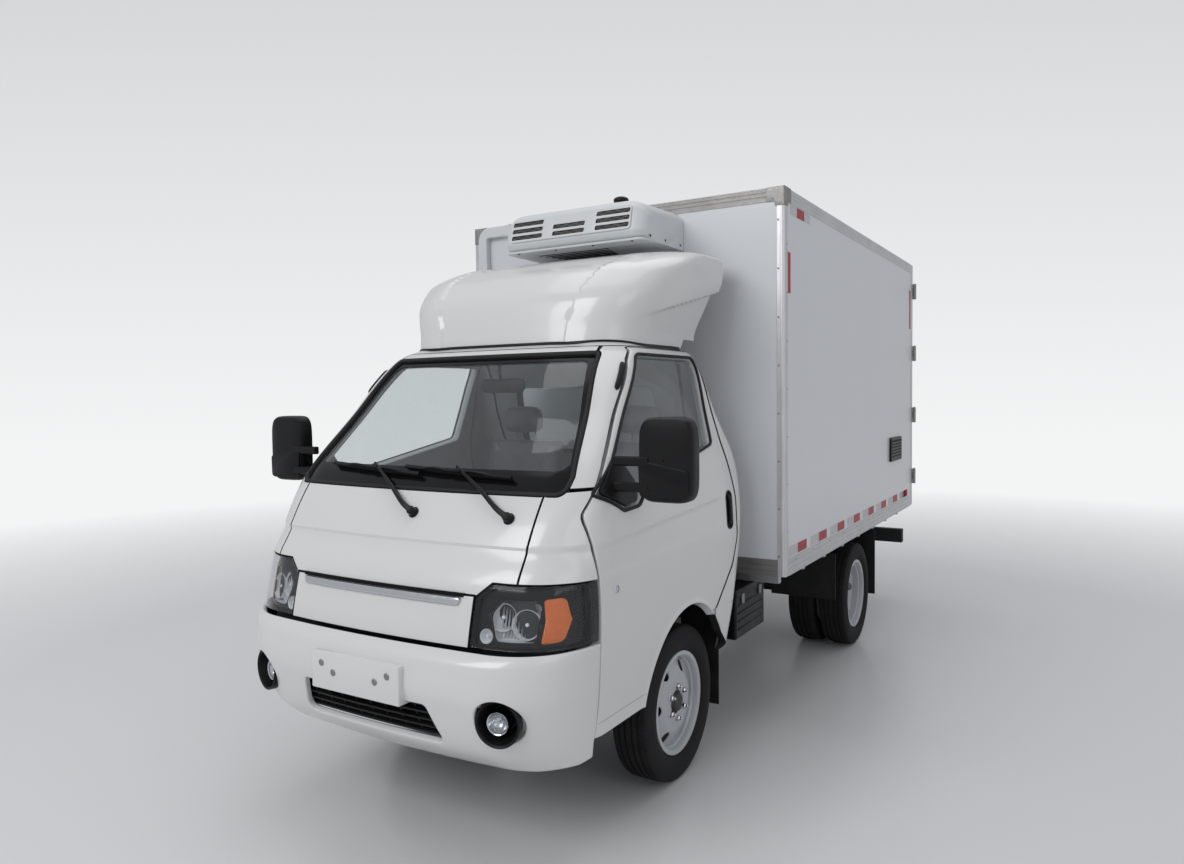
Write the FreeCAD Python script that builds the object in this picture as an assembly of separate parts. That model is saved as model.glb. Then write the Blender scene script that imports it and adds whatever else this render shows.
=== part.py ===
import FreeCAD, Part
import math
import os

# Small refrigerated box truck: cab over the front axle, insulated box, roof-front cooling unit.
# Millimetres. X to the truck's left, Y rearwards, Z up from the ground.
# Stations (Y) are measured from the front axle; the origin moves to mid length at export.

V = FreeCAD.Vector

# Running gear
wheelbase = 2400.0
tyre_radius = 334.0
tyre_width = 175.0
bead_radius = 205.0
rim_flange_radius = 221.0
rim_half_width = 64.0
rim_lip = 6.0
tyre_sides = 48
front_wheel_x = 650.0
rear_outer_x = 798.0
rear_inner_x = 598.0
kingpin_x = 530.0
stud_circle_radius = 70.0
hand_hole_radius = 25.0
hand_hole_count = 6
stud_count = 6
pin_clearance = 0.3

# Chassis
rail_x = 330.0
rail_width = 60.0
rail_height = 120.0
rail_top = 620.0
rail_wall = 6.0
chassis_front = -900.0
chassis_rear = 3711.7

# Cab
cab_nose = -1115.0
cab_half_width = 810.0
cab_back = 565.0
cab_roof_height = 1905.0
cab_belt_height = 1320.0
cab_skirt_height = 460.0
cab_wall = 42.0
cab_rear_corner = 60.0
front_curve_radius = 5600.0
glass_thickness = 5.0
glass_depth = 12.0
shut_gap = 6.0
door_hinge_x = 775.0
door_hinge_station = -763.0
door_front_station = -793.0
door_edge_radius = 39.0
door_bottom = 466.0
door_top = 1868.0
door_edge_lean = 0.2
door_inner_x = 590.0
seat_gap = 0.3
wheel_space_top = 700.0
header_half_width = 530.0
back_panel_half_width = 560.0
back_panel_front = 200.0
cab_sill_width = 72.0
arch_station = -65.0
arch_height = 410.0
arch_radius = 370.0
bonnet_half_width = 605.0
lamp_inner_x = 452.0
lamp_bottom = 818.0
lamp_top = 1030.0
lamp_corner_x = 58.0
lamp_corner_height = 48.0
handle_station = 376.0
handle_width = 66.0
handle_low = 1046.0
handle_high = 1222.0
handle_recess = 23.0
bumper_top = 812.0
bumper_bulge = 62.0
bumper_bottom = 350.0
plate_width = 440.0
plate_height = 140.0
plate_centre_height = 671.0
plate_hole_spacing = 210.0
plate_hole_radius = 3.5
front_end = -1185.0
fog_x = 584.0
fog_height = 584.0
fog_radius = 80.0

# Box body
box_front = 727.0
box_length = 3102.0
box_half_width = 955.0
box_bottom = 765.0
box_height = 1906.0
box_wall = 60.0
box_floor_thickness = 70.0
edge_trim = 70.0
bottom_trim = 82.0
trim_thickness = 3.0
post_width = 42.0
rear_frame_depth = 66.0
rear_post_width = 40.0
rear_header_height = 60.0
rear_door_gap = 6.0
rear_hinge_count = 4
rear_hinge_height = 70.0
rear_barrel_radius = 11.0
lock_bar_x = 180.0
lock_bar_radius = 13.0
bearer_height = 60.0
bearer_count = 8
rail_rib = 3.0
vent_station = 3200.0
vent_length = 340.0
vent_low = 1170.0
vent_height = 160.0
vent_depth = 12.0
rear_hinge_out = 12.0
rear_hinge_back = 15.0
hinge_pin_radius = 7.0

# Cab interior
floor_level = 630.0
platform_level = 815.0
post_clearance = 8.0
post_top_drop = 110.0
post_reach = 18.0
front_mount_stations = (-780.0, -520.0)
rear_mount_station = 395.0
mount_width = 50.0
bulkhead_station = -960.0
steering_x = 350.0
seat_width = 480.0
mirror_inner_x = 880.0
mirror_outer_x = 1090.0
mirror_foot_x = 770.0

# Underbody
battery_outer_x = 745.0
gearbox_end = 900.0
shaft_radius = 38.0
mudguard_inner_x = 505.0
mudguard_outer_x = 905.0
mudguard_rear_reach = 56.0
mudguard_front_reach = 278.0
mudguard_thickness = 6.0
mudguard_drop = 65.0

# Cooling unit on the box front
unit_half_width = 416.0
unit_depth = 451.0
unit_bottom = 2407.0
unit_top = 2607.0

# Wind deflector on the cab roof
deflector_half_width = 700.0
deflector_top = 2335.0
deflector_wall = 12.0

rear_end = box_front + box_length + 40.0
cab_side_inner_x = cab_half_width - cab_sill_width
origin_shift = -(front_end + rear_end) / 2


def box(x0, x1, y0, y1, z0, z1):
    return Part.makeBox(x1 - x0, y1 - y0, z1 - z0, V(x0, y0, z0))


def cylinder(radius, length, centre, axis):
    return Part.makeCylinder(radius, length, V(*centre), V(*axis))


def mirrored(shape):
    return shape.mirror(V(0, 0, 0), V(1, 0, 0))


def pair(shape):
    return Part.makeCompound([shape, mirrored(shape)])


def face_of(points):
    return Part.Face(Part.makePolygon([V(*p) for p in points + points[:1]]))


def outline_face(outline, place):
    """Face from (a, b) or (a, b, radius) corners; a radius rounds its corner with an arc."""
    flat = [(V(c[0], c[1], 0), c[2] if len(c) > 2 else 0.0) for c in outline]
    edges = []
    joints = []
    for i, (corner, radius) in enumerate(flat):
        before = flat[i - 1][0] - corner
        after = flat[(i + 1) % len(flat)][0] - corner
        half = before.getAngle(after) / 2
        if radius <= 0:
            joints.append((corner, corner, corner))
            continue
        reach = radius / math.tan(half)
        before.normalize()
        after.normalize()
        bisector = before + after
        bisector.normalize()
        middle = corner + bisector * (radius / math.sin(half) - radius)
        joints.append((corner + before * reach, middle, corner + after * reach))
    for i, (start, middle, end) in enumerate(joints):
        if start != end:
            edges.append(Part.Arc(place(start), place(middle), place(end)).toShape())
        following = joints[(i + 1) % len(joints)][0]
        if (following - end).Length > 0.001:
            edges.append(Part.makeLine(place(end), place(following)))
    return Part.Face(Part.Wire(edges))


def side_prism(outline, x0, x1, lean=0.0):
    """Outline of (station, height) points pushed across the truck."""
    face = outline_face(outline, lambda p: V(x0, p.x + lean * (x0 - 800.0), p.y))
    return face.extrude(V(x1 - x0, lean * (x1 - x0), 0))


def front_prism(outline, y0, y1):
    """Outline of (across, height) points pushed along the truck."""
    return outline_face(outline, lambda p: V(p.x, y0, p.y)).extrude(V(0, y1 - y0, 0))


def plan_prism(outline, z0, z1):
    return outline_face(outline, lambda p: V(p.x, p.y, z0)).extrude(V(0, 0, z1 - z0))


# Cab lines: each row is a level with the nose set back, the side set in, the back set in, the corner radius
def cab_levels():
    low = cab_skirt_height
    belt = cab_belt_height
    roof = cab_roof_height
    return [
        (low, 85, 25, 165, 280),
        (low + 240, 10, 7, 95, 280),
        (belt - 330, 60, 0, 30, 280),
        (belt - 180, 130, 5, 5, 270),
        (belt, 245, 22, 15, 220),
        (belt + 265, 495, 85, 115, 180),
        (roof - 55, 745, 168, 200, 160),
        (roof, 850, 260, 270, 160),
    ]


def section(height, nose, half_width, back, corner, rear_corner):
    """Closed plan outline: a slow front arc, corner arcs tangent to it, straight sides, rounded rear."""
    slow = front_curve_radius
    centre_x = half_width - corner
    centre_y = nose + slow - math.sqrt((slow - corner) ** 2 - centre_x ** 2)
    lean = math.asin(centre_x / (slow - corner))
    touch = (centre_x + corner * math.sin(lean), centre_y - corner * math.cos(lean))
    middle = (math.pi / 2 + lean) / 2
    half_turn = (centre_x + corner * math.sin(middle), centre_y - corner * math.cos(middle))
    inset = rear_corner * (1 - math.sqrt(0.5))

    def arc(a, m, b):
        return Part.Arc(V(*a, height), V(*m, height), V(*b, height)).toShape()

    def line(a, b):
        return Part.makeLine(V(*a, height), V(*b, height))

    def flip(p):
        return -p[0], p[1]
    side_front = (half_width, centre_y)
    side_back = (half_width, back - rear_corner)
    corner_mid = (half_width - inset, back - inset)
    back_end = (half_width - rear_corner, back)
    return Part.Wire([
        arc(flip(touch), (0, nose), touch),
        arc(touch, half_turn, side_front),
        line(side_front, side_back),
        arc(side_back, corner_mid, back_end),
        line(back_end, flip(back_end)),
        arc(flip(back_end), flip(corner_mid), flip(side_back)),
        line(flip(side_back), flip(side_front)),
        arc(flip(side_front), flip(half_turn), flip(touch)),
    ])


def cab_form(inset):
    """The cab's outer form, or the same form drawn in by an even amount."""
    wires = []
    for height, nose, side, back, corner in cab_levels():
        rise = max(0.0, (height - cab_belt_height) / (cab_roof_height - cab_belt_height))
        wires.append(section(
            height - inset * rise, cab_nose + nose + inset, cab_half_width - side - inset,
            cab_back - back - inset, corner - inset, cab_rear_corner - inset))
    return Part.makeLoft(wires, True, True)


def bumper_form(inset):
    """The bumper stands out from the cab's own form and tucks under at its foot."""
    rows = [
        (bumper_bottom, 145, 0.0, 34),
        (bumper_bottom + 110, 85, 1.0, 25),
        (bumper_bottom + 230, 35, 1.0, 15),
        (bumper_bottom + 320, 12, 1.0, 8),
        (bumper_top - 40, 10, 0.75, 2),
        (bumper_top, 15, 0.25, 0),
    ]
    wires = []
    for height, back, share, side in rows:
        wires.append(section(
            height, cab_nose + back - bumper_bulge * share + inset, cab_half_width - side - inset, 0.0,
            280.0 + bumper_bulge * share - inset, 60.0))
    return Part.makeLoft(wires, True, True)


def door_outline(grow):
    """Door edge in side view, grown outwards by the shut gap for the opening; the arch is cut apart."""
    g = grow
    belt = cab_belt_height
    return [
        (door_front_station - g, door_bottom - g),
        (door_front_station - g, belt - 70, 60),
        (-624 - g, belt + 113 + g, 200),
        (-262 - g, 1812 + g, 90),
        (-190, door_top + g),
        (369 + g, door_top + g, 30 + g),
        (379 + g, 1450, 300),
        (455 + g, 1190, 150),
        (455 + g, 1000, 120),
        (400 + g, 880 - g, 80),
        (190 + g, 670 - g),
        (190 + g, door_bottom - g),
    ]


def arch_cut(radius):
    return cylinder(radius, 600, (400, arch_station, arch_height), (1, 0, 0))


def window_outline(shrink):
    s = shrink
    belt = cab_belt_height
    return [
        (-735 + s, belt + 3 + s, 8),
        (-600, belt - 66 + s, 30),
        (-480, belt - 60 + s, 50),
        (-400, belt + 10 + s, 60),
        (268 - s, belt + 130 + s, 25),
        (330 - s, 1780 - s),
        (330 - s, door_top - 36 - s, 25),
        (-196 + s, door_top - 36 - s, 60),
        (-600 + s, belt + 110),
    ]


def windscreen_outline(shrink):
    s = shrink
    low = cab_belt_height - 2 + s
    high = 1848 - s
    half = [(678 - s, low, 34), (680 - s, cab_belt_height + 60), (550 - s, high, 30)]
    return half + [(-c[0],) + c[1:] for c in reversed(half)]


def lamp_outline(grow):
    """Headlamp edge seen from the front, its upper inner corner cut off, grown outwards by a gap."""
    g = grow
    left, top = lamp_inner_x - g, lamp_top + g
    corner_x = lamp_inner_x + lamp_corner_x - g
    return [(left, lamp_bottom - g, 12), (1000, lamp_bottom - g), (1000, top), (corner_x, top, 20),
            (left, lamp_top - lamp_corner_height + g, 20)]


def handle_outline(width, inset):
    """Upright oval in side view."""
    half = width / 2
    low = handle_low + inset
    high = handle_high - inset
    front, back = handle_station - half, handle_station + half
    return [(front, low, half - 1), (back, low, half - 1), (back, high, half - 1), (front, high, half - 1)]


def hinge_cylinder(radius, low, high):
    return cylinder(radius, high - low, (door_hinge_x, door_hinge_station, low), (0, 0, 1))


def back_window_outline(shrink):
    s = shrink
    return [(-430 + s, 1380 + s, 50), (430 - s, 1380 + s, 50), (400 - s, 1720 - s, 50), (-400 + s, 1720 - s, 50)]


hinge_levels = [cab_skirt_height + 130, cab_skirt_height + 620]
hinge_plate = 8.0
hinge_pin = 6.0
hinge_disc = 9.0


def make_cab():
    outer = cab_form(0)
    inner = cab_form(cab_wall)
    skin = outer.cut(inner)
    glass = cab_form(glass_depth).cut(cab_form(glass_depth + glass_thickness))
    shut = door_front_station - shut_gap
    pocket = hinge_cylinder(door_edge_radius + shut_gap, cab_skirt_height - 200, cab_belt_height + 8)
    pockets = pocket.fuse(mirrored(pocket))
    parts = {}

    # Doors
    left_skin = skin.common(box(door_inner_x - 1, 1000, -1400, 1000, 300, 2000))
    block = side_prism(door_outline(0), door_inner_x, 1000, door_edge_lean).cut(arch_cut(arch_radius + shut_gap))
    door = left_skin.common(block)
    front_edge = box(500, 1000, door_front_station - 60, door_hinge_station, 300, cab_belt_height + 8)
    front_edge = front_edge.cut(hinge_cylinder(door_edge_radius, 290, cab_belt_height + 12))
    door = door.cut(front_edge)
    notch_zone = cab_form(10)
    for level in hinge_levels:
        notch = hinge_cylinder(door_edge_radius + 7, level - 14, level + 38).common(notch_zone)
        door = door.cut(notch)
        lug_z = level + hinge_plate + pin_clearance
        lug = hinge_cylinder(13, lug_z, lug_z + hinge_plate)
        arm = box(door_hinge_x - 9, door_hinge_x + 9, door_hinge_station, door_hinge_station + 60, lug_z,
                  lug_z + hinge_plate)
        door = door.fuse(lug.fuse(arm).common(notch_zone))
        door = door.cut(hinge_cylinder(hinge_pin + pin_clearance, level - 14, level + 38))
    window = side_prism(window_outline(0), door_inner_x - 20, 1000, door_edge_lean)
    door = door.cut(window)
    pane = glass.common(side_prism(window_outline(seat_gap), door_inner_x - 20, 1000, door_edge_lean))
    recess_floor = cab_half_width - handle_recess
    door = door.cut(side_prism(handle_outline(handle_width, 0), recess_floor, 1000))
    grip = side_prism(handle_outline(handle_width / 2, 16), recess_floor - 1, cab_half_width - 4)
    door = door.fuse(grip)
    parts["door_left"] = door
    parts["door_glass_left"] = pane

    # Body panels round the nose
    front = box(-1000, 1000, -1400, shut, 300, 2000)
    opening = front_prism(windscreen_outline(0), -1400, -100)
    nose = skin.common(front).cut(pockets)
    split = cab_belt_height + 16.0
    bonnet_low = lamp_top - 42.0
    lamp_zone = front_prism(lamp_outline(0), -1400, shut)
    lamp_clear = front_prism(lamp_outline(seat_gap), -1400, -600)
    lamp_clear = lamp_clear.fuse(mirrored(lamp_clear))
    gap = seat_gap
    bonnet_zone = box(-bonnet_half_width, bonnet_half_width, -1400, -600, bonnet_low, split)
    parts["front_panel"] = nose.common(bonnet_zone).cut(opening).cut(lamp_clear)
    corner_zone = box(bonnet_half_width + gap, 1000, -1400, shut, lamp_top + gap, split)
    corner = nose.common(corner_zone).cut(opening)
    parts["corner_panels"] = pair(corner)
    grille_zone = box(-lamp_inner_x + 5, lamp_inner_x - 5, -1400, -700, bumper_top + gap, bonnet_low - gap)
    parts["grille_panel"] = nose.common(grille_zone)
    lamp = nose.common(lamp_zone)
    parts["headlamps"] = pair(lamp)

    # Windscreen
    parts["windscreen"] = glass.common(front_prism(windscreen_outline(seat_gap), -1400, -100))

    # Roof with the windscreen header, back panel, and the sides round the door openings
    roof_split = door_top + shut_gap
    roof_zone = box(-1000, 1000, -1400, 1000, roof_split + gap, 2000)
    roof_zone = roof_zone.fuse(box(-header_half_width, header_half_width, -1400, back_panel_front, 1800, 2000))
    parts["cab_roof"] = skin.common(roof_zone).cut(opening)
    half = back_panel_half_width
    back_zone = box(-half, half, back_panel_front + gap, 1000, wheel_space_top, roof_split)
    hole = front_prism(back_window_outline(0), 200, 1000)
    parts["cab_back"] = skin.common(back_zone).cut(hole)
    parts["back_window"] = glass.common(front_prism(back_window_outline(seat_gap), 200, 1000))
    upper = box(header_half_width + gap, 1000, -1400, back_panel_front, split + gap, roof_split)
    rear = box(half + gap, 1000, 0, 1000, wheel_space_top, roof_split)
    lower = box(cab_side_inner_x, 1000, 0, 1000, cab_skirt_height, wheel_space_top + 1)
    side = skin.common(upper).fuse(skin.common(rear)).fuse(skin.common(lower))
    opening_block = side_prism(door_outline(shut_gap), door_inner_x - shut_gap, 1000, door_edge_lean)
    side = side.cut(opening_block).cut(arch_cut(arch_radius)).cut(opening).cut(pocket)
    parts["cab_sides"] = pair(side)
    return parts


def make_bumper():
    shell = bumper_form(0).cut(bumper_form(30))
    shut = door_front_station - shut_gap
    zone = box(-1000, 1000, -1400, shut, bumper_bottom - 5, bumper_top + 5)
    shell = shell.common(zone)
    cut = front_prism([(-300, 612, 20), (300, 612, 20), (345, 462, 20), (-345, 462, 20)], -1400, -700)
    shell = shell.cut(cut)
    for side in (-1, 1):
        shell = shell.cut(cylinder(fog_radius, 500, (side * fog_x, -1300, fog_height), (0, 1, 0)))
    pad = box(-plate_width / 2, plate_width / 2, front_end, cab_nose - 20, plate_centre_height - plate_height / 2,
              plate_centre_height + plate_height / 2)
    pad = pad.cut(bumper_form(15))
    shell = shell.fuse(pad)
    for side in (-1, 1):
        shell = shell.cut(cylinder(plate_hole_radius, 60,
                                   (side * plate_hole_spacing / 2, front_end - 1, plate_centre_height), (0, 1, 0)))
    slats = bumper_form(8).cut(bumper_form(26))
    for i in range(3):
        z = 490 + 42 * i
        shell = shell.fuse(slats.common(box(-352, 352, -1400, -900, z, z + 12)))
    pocket = hinge_cylinder(door_edge_radius + shut_gap, 300, cab_belt_height)
    shell = shell.cut(pocket).cut(mirrored(pocket))
    return shell


def make_fog_lamps():
    lamp = cylinder(fog_radius - 0.3, 90, (fog_x, cab_nose + 5, fog_height), (0, 1, 0))
    lamp = lamp.common(bumper_form(4))
    lamp = lamp.cut(cylinder(fog_radius - 16, 25, (fog_x, cab_nose + 4, fog_height), (0, 1, 0)))
    lens = cylinder(34, 60, (fog_x - 14, cab_nose + 20, fog_height), (0, 1, 0))
    lamp = lamp.fuse(lens)
    return pair(lamp)


def tyre(x):
    """One tyre as a ring of flats that meet the ground on a corner, its beads between the rim's flanges."""
    half = tyre_width / 2
    bead = rim_half_width + rim_lip - seat_gap
    over = 1 / math.cos(math.pi / tyre_sides)
    wall = [(bead, bead_radius * over), (bead, (rim_flange_radius + 3) * over), (half, bead_radius + 66),
            (half - 4, tyre_radius - 34), (half - 17, tyre_radius)]
    ring = [(x + a, r) for a, r in wall] + [(x - a, r) for a, r in reversed(wall)]
    faces = []
    for i in range(tyre_sides):
        first, second = (2 * math.pi * k / tyre_sides for k in (i, i + 1))
        for (xa, ra), (xb, rb) in zip(ring, ring[1:] + ring[:1]):
            faces.append(face_of([
                (xa, ra * math.sin(first), ra * math.cos(first)), (xb, rb * math.sin(first), rb * math.cos(first)),
                (xb, rb * math.sin(second), rb * math.cos(second)), (xa, ra * math.sin(second), ra * math.cos(second)),
            ]))
    return Part.makeSolid(Part.makeShell(faces))


def rim(x, outward, dish):
    """Barrel with flanges and a dished disc with hand holes, turned about X."""
    lip = rim_half_width + rim_lip
    edge = lip + 3.0
    wall = 6.0
    outer_r = bead_radius - seat_gap
    flange = rim_flange_radius
    profile = [
        (-lip, outer_r), (-lip, flange), (-edge, flange), (-edge, outer_r - wall),
        (edge, outer_r - wall), (edge, flange), (lip, flange), (lip, outer_r),
    ]
    barrel = face_of([(x + a * outward, 0, r) for a, r in profile]).revolve(V(0, 0, 0), V(1, 0, 0), 360)
    hub_face, rim_foot = dish
    disc = [
        (rim_foot, outer_r - wall + 1), (hub_face - 2, 118), (hub_face, 105), (hub_face, 40),
        (hub_face - 9, 40), (hub_face - 9, 102), (rim_foot - 12, outer_r - wall + 1),
    ]
    plate = face_of([(x + a * outward, 0, r) for a, r in disc]).revolve(V(0, 0, 0), V(1, 0, 0), 360)
    for i in range(hand_hole_count):
        angle = 2 * math.pi * (i + 0.5) / hand_hole_count
        y, z = 158 * math.sin(angle), 158 * math.cos(angle)
        plate = plate.cut(cylinder(hand_hole_radius, 240, (x - 120, y, z), (1, 0, 0)))
    result = barrel.fuse(plate)
    return result


def at_axle(shape, station):
    moved = shape.copy()
    moved.translate(V(0, station, tyre_radius))
    return moved


def make_front_wheel():
    x = front_wheel_x
    dish = (58.0, 36.0)
    wheel = rim(x, 1, dish)
    hub = cylinder(46, 70, (x + dish[0] - 62, 0, 0), (1, 0, 0))
    drum = cylinder(128, 60, (x + dish[0] - 69, 0, 0), (1, 0, 0))
    drum = drum.cut(cylinder(116, 50, (x + dish[0] - 79, 0, 0), (1, 0, 0)))
    bore = cylinder(20 + pin_clearance, 400, (x - 200, 0, 0), (1, 0, 0))
    bore = bore.common(box(0, x + dish[0] - 6, -100, 100, -100, 100))
    wheel = wheel.fuse(drum).fuse(hub).cut(bore)
    return at_axle(wheel, 0), at_axle(tyre(x), 0)


def make_rear_wheels():
    outer_dish = (-52.0, 10.0)
    inner_dish = (52.0, -10.0)
    outer = rim(rear_outer_x, 1, outer_dish)
    inner = rim(rear_inner_x, 1, inner_dish)
    face = rear_outer_x + outer_dish[0]
    hub = cylinder(50, 120, (face - 60, 0, 0), (1, 0, 0))
    spacer = cylinder(100, face - 9 - (rear_inner_x + inner_dish[0]), (rear_inner_x + inner_dish[0], 0, 0), (1, 0, 0))
    wheels = outer.fuse(inner).fuse(spacer).fuse(hub)
    wheels = wheels.cut(cylinder(30 + pin_clearance, face + 40 - 400, (400, 0, 0), (1, 0, 0)))
    tyres = Part.makeCompound([tyre(rear_outer_x), tyre(rear_inner_x)])
    return at_axle(wheels, wheelbase), at_axle(tyres, wheelbase)


def make_knuckle():
    """Kingpin fork with the stub axle."""
    x = kingpin_x
    z = tyre_radius
    fork = box(x - 24, x + 24, -24, 24, z - 66, z - 42 - pin_clearance)
    fork = fork.fuse(box(x - 24, x + 24, -24, 24, z + 42 + pin_clearance, z + 66))
    back = box(x + 24 + 4, x + 40, -30, 30, z - 66, z + 66)
    back = back.fuse(box(x + 20, x + 30, -24, 24, z + 42 + pin_clearance, z + 66))
    back = back.fuse(box(x + 20, x + 30, -24, 24, z - 66, z - 42 - pin_clearance))
    plate = cylinder(112, 5, (x + 40, 0, z), (1, 0, 0))
    stub_end = front_wheel_x + 58 - 9
    stub = cylinder(20, stub_end - x - 30, (x + 30, 0, z), (1, 0, 0))
    arm = box(x - 20, x + 20, 20, 150, z - 66, z - 52)
    pin = cylinder(12, 132, (x, 0, z - 66), (0, 0, 1))
    return fork.fuse(back).fuse(plate).fuse(stub).fuse(arm).fuse(pin)


def leaf_spring(station, length, axle_height, eye_height, x):
    """A stack of three leaves bowed down to the axle, as one solid."""
    def curve(z_shift, span):
        mid = V(x - 25, station, axle_height + z_shift)
        end = eye_height - (eye_height - axle_height) * (1 - (span / length) ** 2)
        a = V(x - 25, station - span / 2, end + z_shift)
        b = V(x - 25, station + span / 2, end + z_shift)
        return a, mid, b
    solids = []
    for i, share in enumerate((1.0, 0.75, 0.5)):
        a, m, b = curve(-9.0 * i, length * share)
        top = Part.Arc(a, m, b).toShape()
        low = top.copy()
        low.translate(V(0, 0, -9.0))
        w = Part.Wire([top, Part.makeLine(b, b - V(0, 0, 9)), low, Part.makeLine(a - V(0, 0, 9), a)])
        solids.append(Part.Face(w).extrude(V(50, 0, 0)))
    result = solids[0]
    for s in solids[1:]:
        result = result.fuse(s)
    return result


def make_front_axle():
    z = tyre_radius
    beam = box(-kingpin_x + 20, kingpin_x - 20, -30, 30, z - 84, z - 30)
    beam = beam.cut(box(-kingpin_x + 60, kingpin_x - 60, -31, -12, z - 74, z - 40))
    beam = beam.cut(box(-kingpin_x + 60, kingpin_x - 60, 12, 31, z - 74, z - 40))
    for side in (-1, 1):
        beam = beam.cut(box(side * kingpin_x - 46, side * kingpin_x + 46, -40, 40, z - 90, z - 42))
        beam = beam.fuse(cylinder(24, 84, (side * kingpin_x, 0, z - 42), (0, 0, 1)))
        link = box(min(side * kingpin_x, side * 455), max(side * kingpin_x, side * 455), -22, 22, z - 42, z + 10)
        beam = beam.fuse(link)
        beam = beam.fuse(box(side * 455 - 25, side * 455 + 25, -25, 25, z - 80, z + 10))
        beam = beam.cut(cylinder(12 + pin_clearance, 90, (side * kingpin_x, 0, z - 45), (0, 0, 1)))
    for side in (-1, 1):
        spring = leaf_spring(0, 1000, z - 2, rail_top - rail_height - 50, side * rail_x)
        seat = box(side * rail_x - 30, side * rail_x + 30, -50, 50, z - 45, z - 25)
        shackle_a = box(side * rail_x - 25, side * rail_x + 25, -505, -480, rail_top - rail_height - 66,
                        rail_top - rail_height)
        shackle_b = box(side * rail_x - 25, side * rail_x + 25, 480, 505, rail_top - rail_height - 66,
                        rail_top - rail_height)
        beam = beam.fuse(spring).fuse(seat).fuse(shackle_a).fuse(shackle_b)
    return beam


def make_rear_axle():
    z = tyre_radius
    y = wheelbase
    shaft_end = rear_outer_x - 52 + 30
    half = [(shaft_end, 30), (470, 30), (470, 42), (190, 42, 40), (95, 125, 45)]
    outline = [(-c[0],) + c[1:] for c in half] + half[::-1]
    profile = outline_face([(-shaft_end, 0)] + outline + [(shaft_end, 0)], lambda p: V(p.x, p.y, 0))
    axle = profile.revolve(V(0, 0, 0), V(1, 0, 0), 360)
    axle.translate(V(0, y, z))
    for side in (-1, 1):
        spring = leaf_spring(y, 1150, z + 72, rail_top - rail_height - 50, side * rail_x)
        seat = box(side * rail_x - 30, side * rail_x + 30, y - 55, y + 55, z + 20, z + 50)
        shackle_a = box(side * rail_x - 25, side * rail_x + 25, y - 580, y - 552, rail_top - rail_height - 66,
                        rail_top - rail_height)
        shackle_b = box(side * rail_x - 25, side * rail_x + 25, y + 552, y + 580, rail_top - rail_height - 66,
                        rail_top - rail_height)
        axle = axle.fuse(spring).fuse(seat).fuse(shackle_a).fuse(shackle_b)
    return axle


def make_chassis():
    rails = []
    z0 = rail_top - rail_height
    for side in (-1, 1):
        x0 = side * rail_x - rail_width / 2
        rail = box(x0, x0 + rail_width, chassis_front, chassis_rear, z0, rail_top)
        web = rail_wall
        if side > 0:
            hollow = box(x0 - 1, x0 + rail_width - web, chassis_front - 1, chassis_rear + 1, z0 + web, rail_top - web)
        else:
            hollow = box(x0 + web, x0 + rail_width + 1, chassis_front - 1, chassis_rear + 1, z0 + web, rail_top - web)
        rails.append(rail.cut(hollow))
    frame = rails[0].fuse(rails[1])
    inner = rail_x + rail_width / 2 - rail_wall
    for station in (-800, 960, 1300, 1950, 2900, 3670):
        cross = box(-inner, inner, station - 30, station + 30, z0 + 10, z0 + 70)
        frame = frame.fuse(cross)
    return frame


def make_box_body():
    """Insulated panels, floor and the bearers that carry them on the chassis rails."""
    parts = {}
    w = box_half_width - trim_thickness
    y0 = box_front + trim_thickness
    y1 = box_front + box_length - rear_frame_depth
    z0 = box_bottom
    z1 = box_bottom + box_height - trim_thickness
    wall = box_wall
    parts["box_front_wall"] = box(-w, w, y0, y0 + wall, z0, z1)
    side = box(w - wall, w, y0 + wall, y1, z0, z1)
    start = vent_station - vent_length / 2
    vent = box(w - 1, w + vent_depth, start, start + vent_length, vent_low, vent_low + vent_height)
    vent = vent.cut(box(w + vent_depth - 6, w + vent_depth + 1, start + 12, start + vent_length - 12, vent_low + 12,
                        vent_low + vent_height - 12))
    for i in range(5):
        z = vent_low + 26 + 24 * i
        vent = vent.fuse(box(w, w + vent_depth - 2, start + 5, start + vent_length - 5, z, z + 8))
    parts["box_side_walls"] = Part.makeCompound([side.fuse(vent), mirrored(side)])
    parts["box_roof"] = box(-w + wall, w - wall, y0 + wall, y1, z1 - wall, z1)
    floor = box(-w + wall, w - wall, y0 + wall, y1, z0, z0 + box_floor_thickness)
    runner_top = z0 - bearer_height
    for side in (-1, 1):
        runner = box(side * rail_x - 30, side * rail_x + 30, y0 + 60, y1 - 10, rail_top, runner_top)
        floor = floor.fuse(runner)
    for i in range(bearer_count):
        y = y0 + 120 + (y1 - y0 - 240) * i / (bearer_count - 1)
        floor = floor.fuse(box(-w + wall + 10, w - wall - 10, y - 20, y + 20, runner_top, z0))
    parts["box_floor"] = floor
    return parts


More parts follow.
